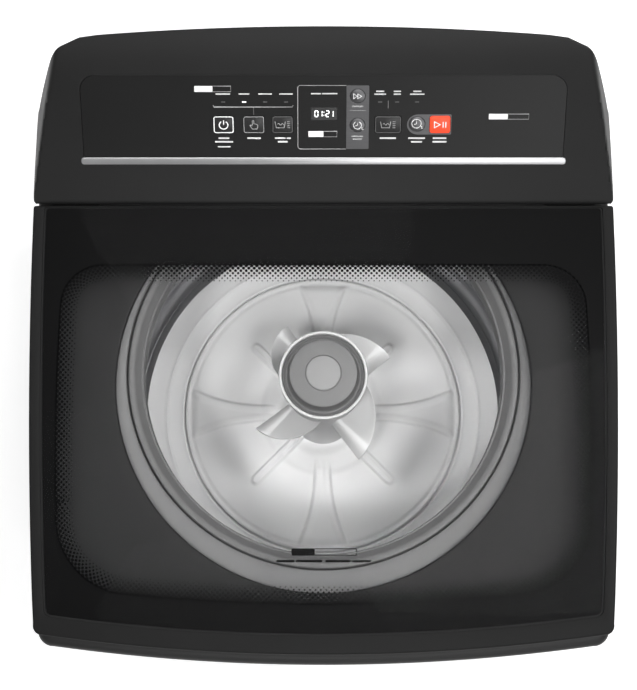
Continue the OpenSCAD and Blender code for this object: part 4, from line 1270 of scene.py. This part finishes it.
def perforated_wall():
    """Rolled steel wall with real holes, eight pressed flutes and a bead near the foot."""
    outer, thick = BASKET_R, 1.1
    z_low, z_high = low("basket_wall").z, high("basket_wall").z
    columns, rows, hole = 112, 17, 2.3
    dz = (z_high - z_low - 44) / rows
    dx = 2 * math.pi / columns

    def press(angle, z):
        """How far the wall is pressed inward there."""
        flute = abs((angle * 8 / (2 * math.pi)) % 1 - 0.5) * 2
        depth = 5.0 * ramp(0.78, 0.92, flute) * ramp(z_low + 16, z_low + 44, z)
        depth *= ramp(z_high - 46, z_high - 66, z)
        bead = 1.6 * math.exp(-((z - z_low - 14) / 4) ** 2)
        return depth + bead

    def skin(angle, z, depth):
        r = outer - depth - press(angle, z)
        return about_axis(r * math.cos(angle), r * math.sin(angle), z)

    def hole_rim(a0, z0, depth):
        rim = []
        for k in range(8):
            turn = math.radians(225 + 45 * k)
            da = hole * math.cos(turn) / outer
            rim.append(skin(a0 + dx / 2 + da, z0 + dz / 2 + hole * math.sin(turn), depth))
        return rim

    def ring_faces(n):
        """Faces between two rings of n points."""
        return [[i, (i + 1) % n, n + (i + 1) % n, n + i] for i in range(n)]

    shell = Shell()
    for depth in (0, thick):
        for row in range(rows):
            z0 = z_low + 22 + row * dz
            shift = 0.5 * (row % 2)
            for c in range(columns):
                a0 = (c + shift) * dx
                square = [(0, 0), (0.5, 0), (1, 0), (1, 0.5), (1, 1), (0.5, 1), (0, 1), (0, 0.5)]
                rim = [skin(a0 + u * dx, z0 + v * dz, depth) for u, v in square]
                shell.add(rim + hole_rim(a0, z0, depth), ring_faces(8))
    for row in range(rows):
        z0 = z_low + 22 + row * dz
        for c in range(columns):
            a0 = (c + 0.5 * (row % 2)) * dx
            shell.add(hole_rim(a0, z0, 0) + hole_rim(a0, z0, thick), ring_faces(8))
    turns = [dx / 2 * i for i in range(2 * columns)]
    foot = [z_low, z_low + 5, z_low + 9, z_low + 12, z_low + 14, z_low + 16, z_low + 19, z_low + 22]
    head = [z_high - 22, z_high - 16, z_high - 10, z_high]
    for levels in (foot, head):
        for depth in (0, thick):
            for z0, z1 in zip(levels, levels[1:]):
                shell.add([skin(a, z, depth) for z in (z0, z1) for a in turns], ring_faces(len(turns)))
    for z in (z_low, z_high):
        shell.add([skin(a, z, depth) for depth in (0, thick) for a in turns], ring_faces(len(turns)))
    shell.piece("basket_drum", "basket", "stainless", ["basket_wall"])
    # Flared steel foot of the drum, curving in over the base
    inner = [(256.2, 521), (255.6, 512), (253.6, 504.5), (250, 498.5), (245.4, 493.6), (243, 491.9),
             (241.6, 492.2), (240.4, 491.2), (236.5, 488.4), (234, 487)]
    under = [(234, 485.6), (240.6, 489.4), (246, 492.4), (251.4, 497.4), (255, 503.8), (256.8, 512),
             (257.1, 521)]
    turned(inner + under).piece("drum_foot", "basket", "stainless")


def basket_floor():
    profile = [
        (14.3, 470), (190, 470), (190, 481), (232, 481), (244, 485), (253, 494), (257, 503),
        (257, 521), (256.9, 521), (256.5, 506), (250, 495.4), (243, 488.8), (236, 486.6),
        (233.6, 486.9), (232, 486.4), (226, 485.3), (212, 485.0), (210.4, 485.6), (209.2, 486.6),
        (208, 486.8), (206.6, 486.2), (205.4, 484.8), (203.6, 484.2), (191, 484.4),
        (188.4, 485.6), (186.8, 486.4), (185.4, 486), (184.6, 484.6), (184.6, 474), (14.3, 474),
    ]
    turned(profile).piece("basket_floor", "basket", "basket_plastic", ["basket_base"])


def plate_height(r, angle):
    """Top of the wash plate: a shallow dish with four flared arms and four ribs."""
    z = mix(488.6, 493, ramp(172, 70, r)) + 3.2 * ramp(84, 74, r) + 8 * ramp(58, 44, r)
    z -= 1.6 * ramp(172, 176, r) - 1.2 * ramp(177.5, 179.5, r)
    for k in range(4):
        turn = angle - math.pi / 2 * k
        along, across = r * math.cos(turn), abs(r * math.sin(turn))
        if along > 40:
            half = 10.5 + 25 * max((along - 66) / 112, 0) ** 2.4
            crest = 5.6 * ramp(58, 88, along) * ramp(178, 164, along)
            dish = 1.5 * ramp(half - 5, half - 12, across)
            z = max(z, z + (crest - dish) * ramp(half + 1.8, half - 2.6, across))
        turn = angle - math.pi / 4 - math.pi / 2 * k
        along, across = r * math.cos(turn), abs(r * math.sin(turn))
        if along > 40:
            away = across if along < 124 else math.hypot(across, along - 124)
            z += 4.4 * ramp(7.6, 4.2, away) - 1.1 * ramp(3.6, 0.8, away)
    return z


def wash_plate():
    n = 576
    radii = [41 + 3 * i for i in range(3)] + [mix(50, 170, i / 46) for i in range(47)]
    radii += [172, 173.5, 175, 176.5, 177.5, 178.3, 179, 180, 181]
    rings = [circle(r, n, 0) for r in radii]
    skin = []
    for r, ring in zip(radii, rings):
        skin.append([about_axis(x, y, plate_height(r, math.atan2(y, x))) for x, y in ring])
    skin.append([about_axis(x * 183 / 181, y * 183 / 181, 487) for x, y in rings[-1]])
    skin.append([about_axis(x * 183 / 181, y * 183 / 181, 476) for x, y in rings[-1]])
    skin.append([about_axis(x, y, 476) for x, y in rings[0]])
    shell = Shell()
    shell.loft(skin, wrap=True)
    shell.piece("impeller_plate", "agitator", "agitator_plastic", ["wash_plate"], crease=60)


def agitator():
    profile = [
        (8.3, 494), (43.4, 494), (44, 495), (43, 499), (41.6, 506), (41, 516), (40.2, 620),
        (40, 748), (40.6, 764), (42.2, 782), (45, 802), (48.4, 822), (50.8, 838), (51.8, 848),
        (51.9, 852.4), (51.5, 854.2), (50.6, 855), (49.4, 855), (48.6, 854.3), (48.2, 853),
        (48.2, 794), (8.3, 794),
    ]
    post = turned(profile, 128)
    post.piece("agitator_post", "agitator", "agitator_plastic", ["agitator_column"], crease=50)
    profile = [
        (51.95, 850.6), (52.0, 852.6), (51.6, 854.6), (50.7, 855.4), (49.3, 855.4), (48.4, 854.6),
        (48.05, 852.8), (48.05, 850.6),
    ]
    turned(profile, 128).piece("cup_rim", "agitator", "agitator_plastic", finish=RIM_WHITE)
    fins = Shell()
    for quarter in range(4):
        grid = []
        for i in range(41):
            u = (i / 40) ** 1.3
            reach = mix(93.5, 50, u ** 1.25)
            out_turn = math.radians(90 * quarter + mix(-62, -4, u))
            in_turn = math.radians(90 * quarter + mix(-76, -2, u))
            z = mix(699, 806, u)
            root = (37 * math.cos(in_turn), 37 * math.sin(in_turn))
            tip = (reach * math.cos(out_turn), reach * math.sin(out_turn))
            row = []
            for t in (0, 0.2, 0.4, 0.6, 0.75, 0.86, 0.92, 0.96, 1):
                x, y = mix(root[0], tip[0], t), mix(root[1], tip[1], t)
                lip = 2.2 * ramp(0.86, 0.97, t) - 2.6 * math.sin(math.pi * min(t / 0.9, 1)) * (1 - 0.5 * u)
                roll = 3.6 * math.sin(math.pi * min(u / 0.2, 1)) + 1.2 * ramp(0, 0.06, u) * ramp(0.2, 0.1, u)
                row.append((about_axis(x, y, z + lip + roll), about_axis(x, y, z - 8 + 3 * ramp(0.9, 1, t))))
            grid.append(row)
        fins.sheet(grid)
    fins.piece("agitator_fins", "agitator", "agitator_plastic", crease=40, bevel=0.9)


def softener_pod():
    profile = [
        (0.4, 794.4), (47.8, 794.4), (47.8, 849.5), (47.3, 850.6), (46.7, 851), (46, 850.4),
        (45, 848.4), (43.8, 847.2), (42.6, 847.2), (41.6, 848.6), (40.6, 853), (39.9, 860),
        (39.5, 867.6), (38.9, 869.2), (37.4, 870), (21.4, 870.3), (20.9, 870.0), (20.6, 869.2),
        (20.2, 869.2), (0.4, 869.2),
    ]
    turned(profile, 128, False).piece("softener_pod_body", "softener_pod", "cup_plastic", ["softener_cup"])
    profile = [(0.4, 869), (19.9, 869), (19.9, 871.2), (19.6, 871.7), (19, 872), (0.4, 872)]
    turned(profile, 96, False).piece("softener_pod_cap", "softener_pod", "cup_plastic", finish=CAP_GREY)


rings_at_top()
perforated_wall()
basket_floor()
wash_plate()
agitator()
softener_pod()

# ---------- cabinet ----------


def cabinet():
    """Wrapped steel sheet with true round corners and a hem at the foot."""
    w, front, rear, r = high("cabinet_wrap").x, low("cabinet_wrap").y, high("cabinet_wrap").y, 24
    z_low = low("cabinet_wrap").z

    def outline(inset):
        return ([(w - inset, rear)] + arc(w - r, front + r, r - inset, 0, -90, 14)
                + arc(-w + r, front + r, r - inset, -90, -180, 14) + [(-w + inset, rear)])

    def ring(inset, z):
        outer, inner = outline(inset), outline(inset + 1.2)
        return [(x, y, z) for x, y in outer + inner[::-1]]

    # Turned-in foot and one pressed line round it
    steps = [(0.9, 0), (0.2, 0.8), (0, 2), (0, 14), (0.7, 15.2), (0.7, 17.2), (0, 18.4)]
    shell = Shell()
    shell.loft([ring(inset, z_low + up) for inset, up in steps] + [ring(0, CABINET_TOP)])
    for x0, x1 in ((1.2 - w, 23 - w), (w - 23, w - 1.2)):
        block(shell, (x0, rear - 1.2, z_low), (x1, rear, CABINET_TOP))
    shell.piece("cabinet_skin", "cabinet", "cabinet_paint", ["cabinet_wrap"])


def rear_sheet():
    """Galvanised back with two blocks of cooling slots, two round holes and four pressed ribs."""
    corner, top = low("rear_panel"), high("rear_panel")
    rear = corner.y + 1
    sheet = Shell()
    block(sheet, (corner.x, corner.y, corner.z), (top.x, rear, top.z))
    body = sheet.piece("rear_sheet", "cabinet", "galvanised_steel", ["rear_panel"])

    def upright(z, x, y):
        return (x, y, z)

    cutter = Shell()
    for x in (-150, 150):
        for i in range(8):
            cutter.prism(round_rect(71.25 + 6 * i, x, 2.5, 100, 1.2), rear - 2, rear + 1, upright)
    for node, r in (("drain_outlet", 18.1), ("cable_gland", 9)):
        at = (low(node) + high(node)) / 2
        cutter.prism(circle(r, 48, at.x, at.z), rear - 2, rear + 1, lambda x, z, y: (x, y, z))
    carve(body, cutter)
    ribs = Shell()
    for x in (-150, -50, 50, 150):
        rings = []
        for inset, out in ((0, -0.3), (0, 0), (1.5, 1), (3.5, 3), (4.6, 3.7), (6, 4)):
            line = round_rect(400, x, 560 - 2 * inset, 24 - 2 * inset, 11 - inset)
            rings.append([upright(u, v, rear + out) for u, v in line])
        ribs.loft(rings)
    ribs.piece("rear_ribs", "cabinet", "galvanised_steel")


def suspension_coils():
    """Four coil springs that stand on the rods' cups under the tub's lugs."""
    wire, coil_r, turns, per_turn, around = 2.2, 15, 7, 28, 10
    near, far = low("suspension_springs"), high("suspension_springs")
    edge = coil_r + wire
    bottom, top = near.z + wire, far.z - wire
    coils = Shell()
    for cx in (near.x + edge, far.x - edge):
        for cy in (near.y + edge, far.y - edge):
            rings = []
            for i in range(turns * per_turn + 1):
                a = 2 * math.pi * i / per_turn
                # The last turn at each end lies nearly flat
                z = mix(bottom, top, ramp(0.6, turns - 0.6, i / per_turn))
                ring = []
                for k in range(around):
                    p = 2 * math.pi * k / around
                    r = coil_r + wire * math.cos(p)
                    ring.append((cx + r * math.cos(a), cy + r * math.sin(a), z + wire * math.sin(p)))
                rings.append(ring)
            coils.loft(rings)
    obj = coils.piece("suspension_coils", None, "spring_steel", ["suspension_springs"], crease=80)
    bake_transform(obj)


cabinet()
rear_sheet()
suspension_coils()

CAD_EDGES = {"console_back": 0.5, "detergent_drawer": 0.8, "foot_front_left": 0.8, "foot_front_right": 0.8,
             "foot_rear_left": 0.8, "foot_rear_right": 0.8, "drain_outlet": 0.6, "water_valve": 0.5,
             "cable_gland": 0.5, "panel_screws": 0.5}
for node, width in CAD_EDGES.items():
    soften(frame["nodes"][node], width)
